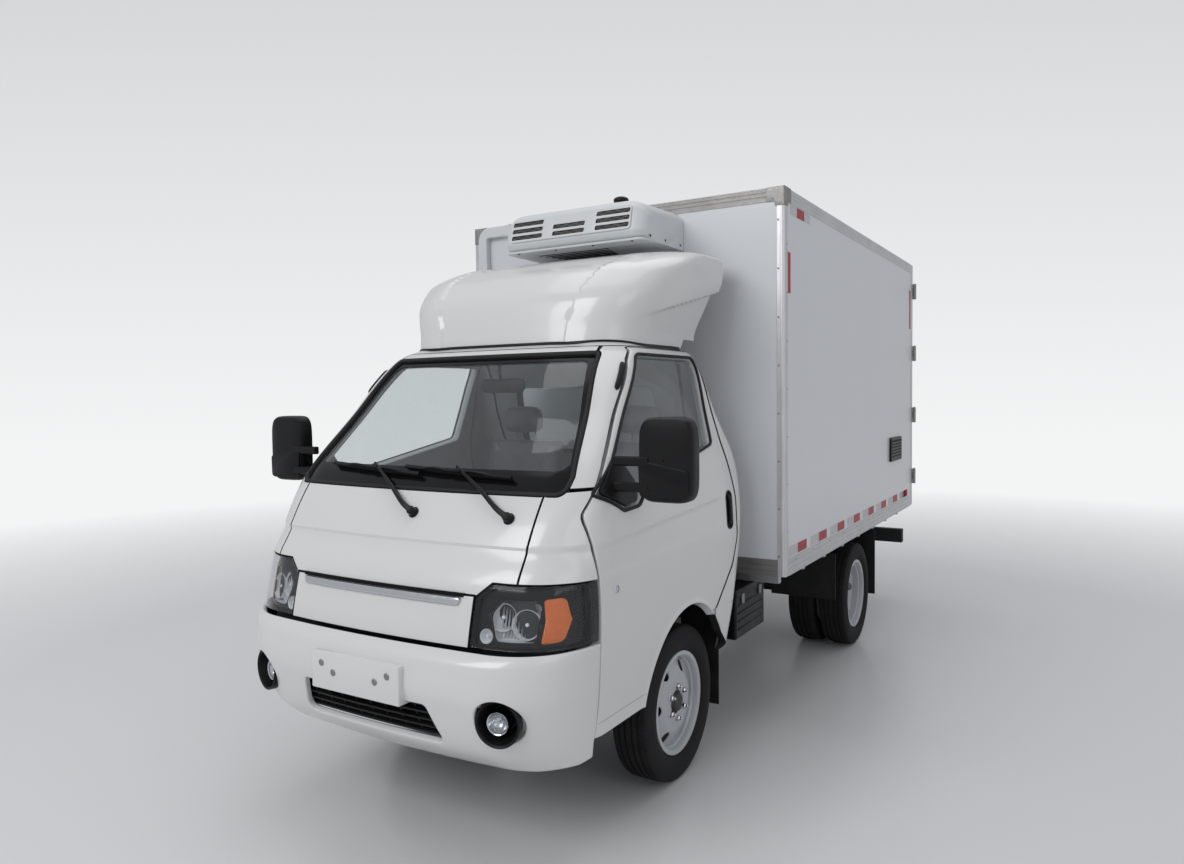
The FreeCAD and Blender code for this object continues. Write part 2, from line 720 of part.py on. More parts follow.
def make_box_trim():
    """Aluminium edge angles round the front and along the sides."""
    w = box_half_width
    y0 = box_front
    y1 = box_front + box_length - rear_frame_depth
    z0 = box_bottom
    z1 = box_bottom + box_height
    t = trim_thickness
    shell = box(-w, w, y0, y1, z0, z1)
    shell = shell.cut(box(-w + t, w - t, y0 + t, y1 + 1, z0 - 1, z1 - t))
    front = box(-w, w, y0, y0 + post_width, z0, z1)
    front = front.cut(box(-w + edge_trim, w - edge_trim, y0 - 1, y0 + post_width + 1, z0 + bottom_trim,
                          z1 - edge_trim))
    sides = box(-w, w, y0, y1, z0, z0 + bottom_trim)
    sides = sides.fuse(box(-w, w, y0, y1, z1 - edge_trim, z1))
    sides = sides.cut(box(-w + edge_trim, w - edge_trim, y0 + post_width, y1 + 1, z0 - 1, z1 + 1))
    trim = shell.common(front.fuse(sides))
    for z in (z0, z0 + bottom_trim / 3, z0 + 2 * bottom_trim / 3, z0 + bottom_trim - 8):
        rib = box(w, w + rail_rib, y0 + post_width, y1, z, z + 8)
        trim = trim.fuse(rib).fuse(mirrored(rib))
    return trim


def rear_hinge_levels():
    low = box_bottom + box_floor_thickness + 160
    high = box_bottom + box_height - 210
    return [low + (high - low) * i / (rear_hinge_count - 1) for i in range(rear_hinge_count)]


def rear_axis():
    return box_half_width + rear_hinge_out, box_front + box_length + rear_hinge_back


def make_rear_frame():
    """Steel portal round the rear doors with its hinge brackets and pins."""
    w = box_half_width
    y1 = box_front + box_length
    z0 = box_bottom
    z1 = box_bottom + box_height
    frame = box(-w, w, y1 - rear_frame_depth, y1, z0, z1)
    frame = frame.cut(box(-w + rear_post_width, w - rear_post_width, y1 - rear_frame_depth - 1, y1 + 1,
                          z0 + box_floor_thickness, z1 - rear_header_height))
    axis_x, axis_y = rear_axis()
    for z in rear_hinge_levels():
        half = rear_hinge_height / 2
        pin = cylinder(hinge_pin_radius, rear_hinge_height + 48, (axis_x, axis_y, z - half - 24), (0, 0, 1))
        lugs = pin
        for z_low in (z - half - 24, z + half + pin_clearance):
            height = 24 - pin_clearance
            lugs = lugs.fuse(cylinder(rear_barrel_radius, height, (axis_x, axis_y, z_low), (0, 0, 1)))
            lugs = lugs.fuse(box(w - 34, axis_x, y1, y1 + 8, z_low, z_low + height))
        frame = frame.fuse(lugs).fuse(mirrored(lugs))
    return frame


def make_rear_door():
    """Left leaf with hinge straps and one locking bar."""
    w = box_half_width
    y1 = box_front + box_length
    z0 = box_bottom + box_floor_thickness + rear_door_gap
    z1 = box_bottom + box_height - rear_header_height - rear_door_gap
    leaf = box(rear_door_gap / 2, w - rear_post_width - rear_door_gap, y1 - box_wall, y1, z0, z1)
    axis_x, axis_y = rear_axis()
    half = rear_hinge_height / 2
    for z in rear_hinge_levels():
        strap = box(w - 330, axis_x, y1 + 6, y1 + 12, z - half, z + half)
        strap = strap.fuse(box(w - 330, w - rear_post_width - rear_door_gap, y1, y1 + 6, z - half, z + half))
        strap = strap.fuse(cylinder(rear_barrel_radius, 2 * half, (axis_x, axis_y, z - half), (0, 0, 1)))
        strap = strap.cut(cylinder(hinge_pin_radius + pin_clearance, 2 * half + 2, (axis_x, axis_y, z - half - 1),
                                   (0, 0, 1)))
        leaf = leaf.fuse(strap)
    bar_x = lock_bar_x
    bar = cylinder(lock_bar_radius, z1 - z0 - 30, (bar_x, y1 + 20, z0 + 15), (0, 0, 1))
    for z in (z0 + 60, z0 + 480, z0 + 900, z1 - 60):
        bar = bar.fuse(box(bar_x - 22, bar_x + 22, y1, y1 + 14, z - 15, z + 15))
    handle = box(bar_x - 10, bar_x + 230, y1 + 30, y1 + 40, z0 + 500, z0 + 530)
    handle = handle.fuse(box(bar_x - 10, bar_x + 10, y1 + 15, y1 + 40, z0 + 490, z0 + 540))
    return leaf.fuse(bar).fuse(handle)


def make_cooling_unit():
    """Condenser housing on the box front: sloped face with slots, and a mushroom aerial."""
    y1 = box_front - pin_clearance
    y0 = y1 - unit_depth
    z0, z1 = unit_bottom, unit_top
    profile = [(y1, z0), (y0 + 90, z0 - 5), (y0 + 15, z0 + 25), (y0, z0 + 45), (y0 + 30, z1 - 30), (y0 + 60, z1),
               (y1, z1 + 12)]
    body = side_prism(profile, -unit_half_width, unit_half_width)
    taper = face_of([(x, y1 + 1, z) for x, z in [(-unit_half_width, z0 - 10), (unit_half_width, z0 - 10),
                                                (unit_half_width, z1 - 60), (unit_half_width - 60, z1 + 20),
                                                (-unit_half_width + 60, z1 + 20), (-unit_half_width, z1 - 60)]])
    body = body.common(taper.extrude(V(0, -unit_depth - 10, 0)))
    for column in (-1, 0, 1):
        for row in range(3):
            if column == 0 and row == 2:
                continue
            x = column * 250
            z = z0 + 62 + row * 36
            body = body.cut(box(x - 95, x + 95, y0 - 5, y0 + 34, z, z + 18))
    body = body.fuse(cylinder(16, 40, (190, y0 + 205, z1 - 2), (0, 0, 1)))
    body = body.fuse(cylinder(38, 24, (190, y0 + 205, z1 + 36), (0, 0, 1)))
    return body


def make_deflector():
    """Hollow wind deflector on the roof, open at the back and underneath."""
    base = cab_roof_height - 35.0
    top = deflector_top
    wide = deflector_half_width
    rows = [
        (base, -298, wide - 104, 460, 220),
        (base + 80, -285, wide - 95, 482, 220),
        (base + 200, -262, wide - 60, 525, 230),
        (top - 135, -150, wide - 20, 570, 240),
        (top - 65, 0, wide - 3, 588, 240),
        (top - 25, 120, wide - 6, 592, 240),
        (top, 240, wide - 60, 592, 240),
    ]

    def form(inset, back):
        wires = []
        for height, nose, half, tail, corner in rows:
            rise = (height - base) / (top - base)
            wires.append(section(height - inset * rise, nose + inset, half - inset, tail + back,
                                 corner - inset, 20.0))
        return Part.makeLoft(wires, True, True)
    shell = form(0, 0).cut(form(deflector_wall, 60))
    shell = shell.cut(box(-1000, 1000, 330, 1000, base - 10, cab_roof_height + 20))
    return shell.cut(cab_form(-seat_gap))


def make_cab_floor():
    """Floor, front bulkhead, seat platform over the wheels, hinge posts with brackets and pins."""
    seat = cab_form(cab_wall + pin_clearance)
    plate = box(-1000, 1000, bulkhead_station, -400, floor_level, floor_level + 25)
    bulkhead = box(-1000, 1000, bulkhead_station - 25, bulkhead_station, floor_level, cab_belt_height - 75)
    riser = box(-1000, 1000, -430, -405, floor_level, platform_level)
    platform = box(-1000, 1000, -430, cab_back, platform_level - 22, platform_level)
    floor = plate.fuse(bulkhead).fuse(riser).fuse(platform).common(seat)
    door_zone = side_prism(door_outline(shut_gap), 450, 1000, door_edge_lean).cut(cab_form(cab_wall + shut_gap))
    pocket = hinge_cylinder(door_edge_radius + shut_gap, 400, cab_belt_height)
    floor = floor.cut(door_zone).cut(mirrored(door_zone)).cut(pocket).cut(mirrored(pocket))
    post_x = door_hinge_x - door_edge_radius - 8
    post = box(post_x - 50, post_x, door_front_station - 40, door_hinge_station + post_reach, floor_level - 120,
               cab_belt_height - post_top_drop)
    post = post.common(cab_form(cab_wall + post_clearance)).cut(pocket)
    shelf = box(post_x - 80, post_x, -960, door_front_station, floor_level, floor_level + 20)
    post = post.fuse(shelf.common(seat).cut(pocket))
    for level in hinge_levels:
        bracket = box(post_x - 12, door_hinge_x, door_hinge_station - hinge_disc, door_hinge_station + hinge_disc,
                      level, level + hinge_plate)
        bracket = bracket.fuse(hinge_cylinder(hinge_disc, level, level + hinge_plate))
        bracket = bracket.fuse(hinge_cylinder(hinge_pin, level, level + 2 * hinge_plate + 6))
        post = post.fuse(bracket)
    floor = floor.fuse(post).fuse(mirrored(post))
    half = mount_width / 2
    mounts = [(y, floor_level + 5) for y in front_mount_stations] + [(rear_mount_station, platform_level - 10)]
    for side in (-1, 1):
        x = side * rail_x
        for y, top in mounts:
            floor = floor.fuse(box(x - half, x + half, y - half, y + half, rail_top + pin_clearance, top))
    return floor


def make_interior():
    parts = {}
    clear = cab_form(cab_wall + seat_gap)
    front = bulkhead_station + seat_gap
    profile = [(front, 960), (-760, 930), (-690, 1010), (-650, 1150), (-690, 1225), (-860, 1268), (front, 1235)]
    dash = side_prism(profile, -1000, 1000).common(clear)
    dash = dash.common(box(-665, 665, -1000, 0, 800, 1400))
    parts["dashboard"] = dash
    tilt = math.radians(58)
    centre = V(steering_x, -455, 1165)
    direction = V(0, -math.sin(tilt), -math.cos(tilt))
    ring = Part.makeTorus(185, 14, centre, direction)
    column = Part.makeCylinder(24, 290, centre, direction)
    hub = Part.makeCylinder(52, 36, centre - direction * 6, direction)
    wheel = ring.fuse(column).fuse(hub)
    for angle in (90, 210, 330):
        across = V(1, 0, 0)
        up = direction.cross(across)
        a = math.radians(angle)
        spoke_dir = across * math.cos(a) + up * math.sin(a)
        wheel = wheel.fuse(Part.makeCylinder(9, 180, centre, spoke_dir))
    wheel = wheel.cut(dash)
    parts["steering_wheel"] = wheel
    z0 = platform_level + pin_clearance
    for name, x in (("seat_left", steering_x), ("seat_right", -steering_x)):
        half = seat_width / 2
        cushion = box(x - half, x + half, -230, 260, z0, z0 + 150)
        cushion = cushion.makeFillet(35, cushion.Edges)
        recline = [(260 + seat_gap, z0 + 20), (360, z0 + 20), (435, z0 + 640), (355, z0 + 640), (260 + seat_gap, z0 + 110)]
        back = side_prism(recline, x - half + 10, x + half - 10)
        back = back.makeFillet(28, back.Edges)
        rest = side_prism([(325, z0 + 660), (398, z0 + 660), (385, z0 + 800), (322, z0 + 800)], x - 125, x + 125)
        rest = rest.makeFillet(25, rest.Edges)
        stem = cylinder(6, 60, (x, 378, z0 + 620), (0, 0, 1))
        parts[name] = Part.makeCompound([cushion, back.fuse(stem).fuse(rest)])
    return parts


def make_mirror():
    belt = cab_belt_height
    head = box(mirror_inner_x, mirror_outer_x, -660, -585, belt - 30, belt + 272)
    head = head.makeFillet(28, head.Edges)
    head = head.cut(box(mirror_inner_x + 16, mirror_outer_x - 16, -597, -580, belt - 14, belt + 256))
    for z in (belt + 5, belt + 98):
        head = head.fuse(box(mirror_foot_x + 12, mirror_inner_x + 40, -664, -636, z, z + 34))
    form = cab_form(-pin_clearance)
    corners = [(-700, belt - 20), (-600, belt - 52), (-560, belt), (-640, belt + 145)]
    foot = side_prism(corners, 600, mirror_foot_x + 25)
    foot = foot.cut(form)
    return head.fuse(foot)


def rod(start, end, radius):
    a, b = V(*start), V(*end)
    return Part.makeCylinder(radius, (b - a).Length, a, b - a)


def make_wipers():
    solids = []
    belt = cab_belt_height
    for x in (70, 500):
        pivot = (x, -945, belt - 58)
        tip = (x - 300, -842, belt + 72)
        wiper = cylinder(17, 62, (x, -905, belt - 98), (0, -0.86, 0.5))
        wiper = wiper.fuse(rod(pivot, tip, 8))
        wiper = wiper.fuse(rod((x - 520, -838, belt + 52), (x - 90, -850, belt + 52), 9))
        solids.append(wiper.cut(cab_form(-pin_clearance)))
    return Part.makeCompound(solids)


def make_engine():
    block = box(-230, 230, -250, 420, 370, platform_level - 40)
    end = gearbox_end
    gearbox = side_prism([(420, 390), (420, 640), (end - 200, 560), (end, 520), (end, 420), (end - 200, 400)], -110, 110)
    block = block.fuse(gearbox)
    inner = rail_x + rail_width / 2 - rail_wall - pin_clearance
    for y in (-150, 330):
        block = block.fuse(box(-inner, inner, y - 25, y + 25, 530, 560))
    return block


def make_underbody():
    parts = {}
    z = tyre_radius
    shaft = rod((0, gearbox_end - 20, 470), (0, wheelbase - 140, z + 10), shaft_radius)
    parts["drive_shaft"] = shaft.cut(box(-150, 150, gearbox_end - 100, gearbox_end + pin_clearance, 300, 640))
    muffler = cylinder(80, 420, (180, 1000, 430), (0, 1, 0))
    pipe = rod((180, 425, 450), (180, 1010, 440), 22).fuse(rod((180, 1410, 430), (180, 1820, 430), 22))
    hanger = box(172, 188, 1190, 1210, 430, 520)
    parts["exhaust"] = muffler.fuse(pipe).fuse(hanger)
    tank = box(-720, -400, 760, 1300, 400, 640)
    tank = tank.makeFillet(40, tank.Edges)
    outer_face = rail_x + rail_width / 2 + pin_clearance
    tank = tank.fuse(box(-420, -outer_face, 820, 860, 520, 600)).fuse(box(-420, -outer_face, 1200, 1240, 520, 600))
    parts["fuel_tank"] = tank
    case = box(440, battery_outer_x, 600, 1000, 452, 700)
    case = case.makeFillet(12, case.Edges)
    case = case.fuse(box(outer_face, 460, 640, 680, 520, 600)).fuse(box(outer_face, 460, 920, 960, 520, 600))
    parts["battery_box"] = case
    inner = rail_x - rail_width / 2 - seat_gap
    radiator = box(-inner, inner, -890, -850, 440, 600)
    parts["radiator"] = radiator
    return parts


def make_mudguards():
    top = box_bottom - mudguard_drop
    thick = mudguard_thickness
    rail_face = rail_x + rail_width / 2 + seat_gap
    solids = []
    rear = wheelbase + tyre_radius + mudguard_rear_reach
    front = wheelbase - mudguard_front_reach - tyre_radius
    for station, foot in ((front, 420), (rear, 250)):
        board = box(mudguard_inner_x, mudguard_outer_x, station, station + thick, foot, top)
        stay = box(rail_face, mudguard_outer_x - 60, station + thick, station + thick + 24, 540, 564)
        solids.append(board.fuse(stay))
    flap = box(590, cab_side_inner_x - seat_gap, 395, 395 + thick, 200, wheel_space_top - 10)
    solids.append(flap)
    left = Part.makeCompound(solids)
    return Part.makeCompound([left, mirrored(left)])


def make_rear_guard():
    beam = box(-900, 900, 3712, 3772, 470, 575)
    for side in (-1, 1):
        x = side * rail_x
        beam = beam.fuse(box(x - 30, x + 30, 3600, 3712, 470, rail_top - rail_height - pin_clearance))
    return beam


def make_tail_lamps():
    lamp = box(600, 860, 3772 + pin_clearance, 3800, 480, 550)
    return pair(lamp)


def make_line_duct():
    y1 = box_front - pin_clearance
    duct = box(-900, -840, y1 - 36, y1, 1700, 2660)
    duct = duct.fuse(box(-900, -unit_half_width - 40, y1 - 36, y1, 2600, 2660))
    return duct


def make_evaporator():
    y0 = box_front + trim_thickness + box_wall + pin_clearance
    z1 = box_bottom + box_height - trim_thickness - box_wall - pin_clearance
    return side_prism([(y0, z1), (y0, z1 - 240), (y0 + 60, z1 - 260), (y0 + 420, z1 - 90), (y0 + 420, z1)], -420, 420)


def finish(name, shape):
    moved = shape.copy()
    moved.translate(V(0, origin_shift, 0))
    moved.exportStep("parts/" + name + ".step")


def main():
    os.makedirs("parts", exist_ok=True)
    parts = {}
    parts.update(make_cab())
    parts["bumper"] = make_bumper()
    parts["fog_lamps"] = make_fog_lamps()
    parts["cab_floor"] = make_cab_floor()
    parts.update(make_interior())
    parts["wipers"] = make_wipers()
    parts["mirror_left"] = make_mirror()
    parts["wind_deflector"] = make_deflector()
    parts["chassis_frame"] = make_chassis()
    parts["engine_block"] = make_engine()
    parts.update(make_underbody())
    parts["front_axle"] = make_front_axle()
    parts["rear_axle"] = make_rear_axle()
    parts["knuckle_left"] = make_knuckle()
    parts["rim_front_left"], parts["tyre_front_left"] = make_front_wheel()
    parts["rims_rear_left"], parts["tyres_rear_left"] = make_rear_wheels()
    parts.update(make_box_body())
    parts["box_trim"] = make_box_trim()
    parts["rear_frame"] = make_rear_frame()
    parts["rear_door_left"] = make_rear_door()
    parts["cooling_unit"] = make_cooling_unit()
    parts["evaporator"] = make_evaporator()
    parts["line_duct"] = make_line_duct()
    parts["mudguards"] = make_mudguards()
    parts["rear_guard"] = make_rear_guard()
    parts["tail_lamps"] = make_tail_lamps()
    for name in [n for n in parts if n.endswith("_left") and n != "seat_left"]:
        parts[name.replace("_left", "_right")] = mirrored(parts[name])
    for name, shape in parts.items():
        finish(name, shape)
        print(name, len(shape.Solids), shape.isValid(), round(shape.Volume / 1e6, 2))


main()
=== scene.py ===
import math

import bmesh
import bpy
import numpy as np
from mathutils import Matrix, Vector, geometry


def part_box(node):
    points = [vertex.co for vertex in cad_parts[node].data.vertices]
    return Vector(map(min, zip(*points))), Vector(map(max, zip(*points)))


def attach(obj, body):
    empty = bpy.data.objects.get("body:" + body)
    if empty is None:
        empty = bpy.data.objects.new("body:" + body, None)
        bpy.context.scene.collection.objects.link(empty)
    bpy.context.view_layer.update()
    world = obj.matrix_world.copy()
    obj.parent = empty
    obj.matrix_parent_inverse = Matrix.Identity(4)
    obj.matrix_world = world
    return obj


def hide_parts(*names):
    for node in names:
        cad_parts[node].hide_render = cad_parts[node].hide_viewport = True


# A small refrigerated truck. Metres; stations run rearwards from the front axle, x to the truck's left.
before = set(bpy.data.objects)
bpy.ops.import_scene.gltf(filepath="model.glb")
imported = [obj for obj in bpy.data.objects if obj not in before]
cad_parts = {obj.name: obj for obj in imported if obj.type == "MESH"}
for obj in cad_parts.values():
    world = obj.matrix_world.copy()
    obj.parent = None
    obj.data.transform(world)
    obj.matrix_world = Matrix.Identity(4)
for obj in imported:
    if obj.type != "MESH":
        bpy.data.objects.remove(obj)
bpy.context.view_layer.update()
axleLow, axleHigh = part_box("tyre_front_left")
axleY = (axleLow.y + axleHigh.y) / 2
axleZ = (axleLow.z + axleHigh.z) / 2
frontWheelX = (axleLow.x + axleHigh.x) / 2
tyreRadius = (axleHigh.z - axleLow.z) / 2


def at(x, station, z):
    # One place, or a row of places when one of the three is an array
    return np.stack(np.broadcast_arrays(x, station + axleY, z), -1)


def pairs(a, b):
    # A row of (a, b) points; either may be one number for all of them
    return np.stack(np.broadcast_arrays(a, b), -1)


def unit(vectors):
    return vectors / np.linalg.norm(vectors, axis=-1)[..., None]


# Camera: where the photograph was taken from, with its size of 1184 by 864
view = {"place": (2.3067, -4.6366, 1.6701), "yaw": 31.4126, "pitch": -2.4649, "roll": -0.7151,
        "focal": 849.58,
        "wide": 1184.0}


def makeCamera():
    yaw, pitch, roll = (math.radians(view[k]) for k in ("yaw", "pitch", "roll"))
    ahead = Vector((-math.sin(yaw) * math.cos(pitch), math.cos(yaw) * math.cos(pitch), math.sin(pitch)))
    right = Vector((math.cos(yaw), math.sin(yaw), 0))
    above = right.cross(ahead)
    side = right * math.cos(roll) + above * math.sin(roll)
    up = above * math.cos(roll) - right * math.sin(roll)
    data = bpy.data.cameras.new("camera")
    data.sensor_width = 36.0
    data.lens = view["focal"] / view["wide"] * data.sensor_width
    camera = bpy.data.objects.new("camera", data)
    bpy.context.scene.collection.objects.link(camera)
    turn = Matrix((side, up, -ahead)).transposed()
    camera.matrix_world = Matrix.Translation(view["place"]) @ turn.to_4x4()
    bpy.context.scene.camera = camera


makeCamera()
print("camera placed")


# Meshes are gathered as arrays, then written in one go
class Piece:
    def __init__(self, name, *looks):
        self.name, self.looks = name, looks
        self.points, self.faces, self.count = [], [], 0

    def add(self, points, faces, look=0):
        points = np.asarray(points, float).reshape(-1, 3)
        for part in faces if isinstance(faces, list) else [faces]:
            self.faces.append((np.asarray(part, int) + self.count, look))
        self.points.append(points)
        self.count += len(points)
        return self

    def mirrored(self, name):
        twin = Piece(name, *self.looks)
        twin.points = [p * [-1, 1, 1] for p in self.points]
        twin.faces = [(f[:, ::-1], look) for f, look in self.faces]
        twin.count = self.count
        return twin

    def both(self):
        twin = self.mirrored(self.name)
        base = self.count
        self.points += twin.points
        self.faces += [(f + base, look) for f, look in twin.faces]
        self.count *= 2
        return self

    def make(self, body, slot, replaces=(), sharp=32.0, weld=True):
        mesh = bpy.data.meshes.new(self.name)
        points = np.concatenate(self.points)
        mesh.vertices.add(len(points))
        mesh.vertices.foreach_set("co", points.ravel())
        loops = np.concatenate([f.ravel() for f, look in self.faces])
        sizes = np.concatenate([np.full(len(f), f.shape[1]) for f, look in self.faces])
        looks = np.concatenate([np.full(len(f), look) for f, look in self.faces])
        mesh.loops.add(len(loops))
        mesh.loops.foreach_set("vertex_index", loops.astype(np.int32))
        mesh.polygons.add(len(sizes))
        mesh.polygons.foreach_set("loop_start", (np.cumsum(sizes) - sizes).astype(np.int32))
        mesh.polygons.foreach_set("material_index", looks.astype(np.int32))
        mesh.update(calc_edges=True)
        mesh.validate()
        if weld:
            work = bmesh.new()
            work.from_mesh(mesh)
            bmesh.ops.remove_doubles(work, verts=work.verts, dist=2e-5)
            work.to_mesh(mesh)
            work.free()
        mesh.polygons.foreach_set("use_smooth", np.ones(len(mesh.polygons), bool))
        mesh.set_sharp_from_angle(angle=math.radians(sharp))
        for look in self.looks:
            mesh.materials.append(look)
        piece = bpy.data.objects.new(self.name, mesh)
        bpy.context.scene.collection.objects.link(piece)
        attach(piece, body)
        if replaces:
            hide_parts(*replaces)
        return piece


def makePair(piece, body, slot, replaced="", sharp=32.0):
    # A left-hand piece and its mirror image, each on the body of its side
    for side in ("left", "right"):
        made = piece if side == "left" else piece.mirrored(piece.name.replace("left", "right"))
        made.make(body + side, slot, [replaced + side] if replaced else (), sharp)


def gridFaces(rows, columns, closeRows=False, closeColumns=False):
    i, j = np.meshgrid(np.arange(rows - (not closeRows)), np.arange(columns - (not closeColumns)),
                       indexing="ij")
    k, m = (i + 1) % rows, (j + 1) % columns
    corners = [i * columns + j, i * columns + m, k * columns + m, k * columns + j]
    return np.stack(corners, -1).reshape(-1, 4)


def roundedLoop(corners, step=0.012):
    # Closed loop of (a, b) points; a third value rounds its corner with an arc of that radius
    points = []
    number = len(corners)
    joints = []
    for i in range(number):
        corner = np.array(corners[i][:2], float)
        radius = corners[i][2] if len(corners[i]) > 2 else 0.0
        before = np.array(corners[i - 1][:2], float) - corner
        after = np.array(corners[(i + 1) % number][:2], float) - corner
        before /= np.linalg.norm(before)
        after /= np.linalg.norm(after)
        half = math.acos(np.clip(before @ after, -1, 1)) / 2
        if radius <= 0 or half > 1.55:
            joints.append(corner[None, :])
            continue
        reach = radius / math.tan(half)
        middle = corner + (before + after) / np.linalg.norm(before + after) * radius / math.sin(half)
        start = corner + before * reach - middle
        end = corner + after * reach - middle
        turn = math.atan2(start[0] * end[1] - start[1] * end[0], start @ end)
        angles = np.linspace(0, turn, max(4, int(abs(turn) * radius / step * 1.5) + 2))[:, None]
        normal = np.array([-start[1], start[0]])
        joints.append(middle + start * np.cos(angles) + normal * np.sin(angles))
    for i in range(number):
        points.append(joints[i])
        gap = joints[(i + 1) % number][0] - joints[i][-1]
        pieces = max(1, int(np.linalg.norm(gap) / step))
        share = np.arange(1, pieces)[:, None] / pieces
        points.append(joints[i][-1] + gap * share)
    return np.concatenate(points)


def boxLoop(low, high, radius, step=0.012):
    # A rectangle between two corners, all four rounded alike
    (a0, b0), (a1, b1) = low, high
    return roundedLoop([(a0, b0, radius), (a1, b0, radius), (a1, b1, radius), (a0, b1, radius)], step)


def evenLoop(half, step=0.012):
    # A loop given by its right half, and the same mirrored
    return roundedLoop(half + [(-c[0],) + c[1:] for c in reversed(half)], step)


def insetLoop(loop, amount):
    # Every point moves to its left by the amount, which is inwards on a loop that runs anticlockwise
    ahead = unit(np.roll(loop, -1, 0) - loop)
    mean = unit(ahead + np.roll(ahead, 1, 0))
    stretch = 1 / np.clip((mean * ahead).sum(1), 0.5, 1)
    return loop + np.stack([-mean[:, 1], mean[:, 0]], 1) * (amount * stretch)[:, None]


def anticlockwise(loop):
    # Points that lie on their neighbour are dropped first, in two rounds
    for turn in range(2):
        loop = loop[np.linalg.norm(loop - np.roll(loop, 1, 0), axis=1) > 1e-3]
    area = (loop[:, 0] * np.roll(loop[:, 1], -1) - np.roll(loop[:, 0], -1) * loop[:, 1]).sum()
    return loop if area > 0 else loop[::-1]


def inside(points, loop):
    a, b = loop, np.roll(loop, -1, 0)
    y = points[:, None, 1]
    crosses = (a[None, :, 1] > y) != (b[None, :, 1] > y)
    run = b[None, :, 1] - a[None, :, 1]
    x = a[None, :, 0] + (y - a[None, :, 1]) * (b[None, :, 0] - a[None, :, 0]) / np.where(run == 0, 1, run)
    return ((crosses & (points[:, None, 0] < x)).sum(1) % 2) == 1


def panel(piece, surface, outline, holes=(), depth=0.04, spacing=0.022, edge=0.003, lift=0.0,
          looks=(0, 0, 0)):
    # A grid of points inside an outline, joined to its rim and laid on a surface, with rounded edges
    loops = [anticlockwise(outline)] + [anticlockwise(h)[::-1] for h in holes]
    inner = [insetLoop(loop, edge) for loop in loops]
    flat = np.concatenate(inner)
    low, high = flat.min(0), flat.max(0)
    a = np.arange(low[0] + spacing / 2, high[0], spacing)
    b = np.arange(low[1] + spacing / 2, high[1], spacing)
    cloud = np.stack(np.meshgrid(a, b, indexing="ij"), -1).reshape(-1, 2)

    def within(places):
        keep = inside(places, inner[0])
        for hole in inner[1:]:
            keep &= ~inside(places, hole)
        return keep
    cloud = cloud[within(cloud)]
    near = np.array([np.min(((flat - c) ** 2).sum(1)) for c in cloud]) if len(cloud) else np.zeros(0)
    cloud = cloud[near > (0.45 * spacing) ** 2]
    points = np.concatenate([flat, cloud])
    edges, start = [], 0
    for loop in inner:
        order = np.arange(start, start + len(loop))
        edges += np.stack([order, np.roll(order, -1)], 1).tolist()
        start += len(loop)
    made = geometry.delaunay_2d_cdt([Vector(p) for p in points], edges, [], 0, 1e-7)
    points = np.array([tuple(p) for p in made[0]])
    triangles = np.array(made[2])
    triangles = triangles[within(points[triangles].mean(1))]
    skin, normal = surface(points[:, 0], points[:, 1])
    skin = skin + normal * lift
    piece.add(skin, triangles, looks[0])
    piece.add(skin - normal * depth, triangles[:, ::-1], looks[2])
    start = 0
    for loop in inner:
        size = len(loop)
        rim, up = skin[start:start + size], normal[start:start + size]
        out = unit(np.cross(np.roll(rim, -1, 0) - np.roll(rim, 1, 0), up))
        steps = [(edge * math.sin(q), edge * (1 - math.cos(q))) for q in np.radians([0, 30, 60, 90])]
        steps += [(edge, depth - edge)] if depth > 3 * edge else []
        steps += [(0.0, depth)]
        rings = np.concatenate([rim + out * s - up * d for s, d in steps])
        faces = gridFaces(len(steps), size, closeColumns=True)[:, ::-1]
        piece.add(rings, faces, looks[1])
        start += size


def carry(piece, centre, side, up, profile, look=0, closed=True, capped=False):
    # A profile of (side, up) points taken along a path of centres
    side, up = np.broadcast_to(side, centre.shape), np.broadcast_to(up, centre.shape)
    profile = np.asarray(profile, float)
    rings = centre[:, None] + side[:, None] * profile[None, :, :1] + up[:, None] * profile[None, :, 1:]
    rows, columns = len(centre), len(profile)
    piece.add(rings.reshape(-1, 3), gridFaces(rows, columns, closed, True), look)
    if capped:
        ends = np.concatenate([rings[0], rings[-1]])
        order = np.arange(columns)
        piece.add(ends, [order[::-1][None], (order + columns)[None]], look)


def extrude(piece, centre, side, up, profile, look=0):
    carry(piece, centre, side, up, profile, look, closed=False, capped=True)


def lofted(piece, rings):
    # Closed rings joined in a row, with the first and the last one filled
    count = len(rings[0])
    order = np.arange(count)
    piece.add(np.concatenate(rings), gridFaces(len(rings), count, closeColumns=True)[:, ::-1])
    piece.add(np.concatenate([rings[0], rings[-1]]), [order[None], (order[::-1] + count)[None]])


def bead(piece, surface, loop, profile, look=0):
    # A seal or moulding along a loop on a surface; the profile is (outwards, proud)
    centre, up = surface(loop[:, 0], loop[:, 1])
    out = unit(np.cross(np.roll(centre, -1, 0) - np.roll(centre, 1, 0), up))
    carry(piece, centre, out, up, profile, look)


def smoothPath(points, count=48):
    # Catmull-Rom curve through the points
    p = np.asarray(points, float)
    p = np.concatenate([[2 * p[0] - p[1]], p, [2 * p[-1] - p[-2]]])
    s = np.linspace(0, len(p) - 3 - 1e-9, count)
    i = s.astype(int)
    f = (s - i)[:, None]
    a, b, c, d = p[i], p[i + 1], p[i + 2], p[i + 3]
    square, cube = 2 * a - 5 * b + 4 * c - d, 3 * b - a - 3 * c + d
    return 0.5 * (2 * b + (c - a) * f + square * f ** 2 + cube * f ** 3)


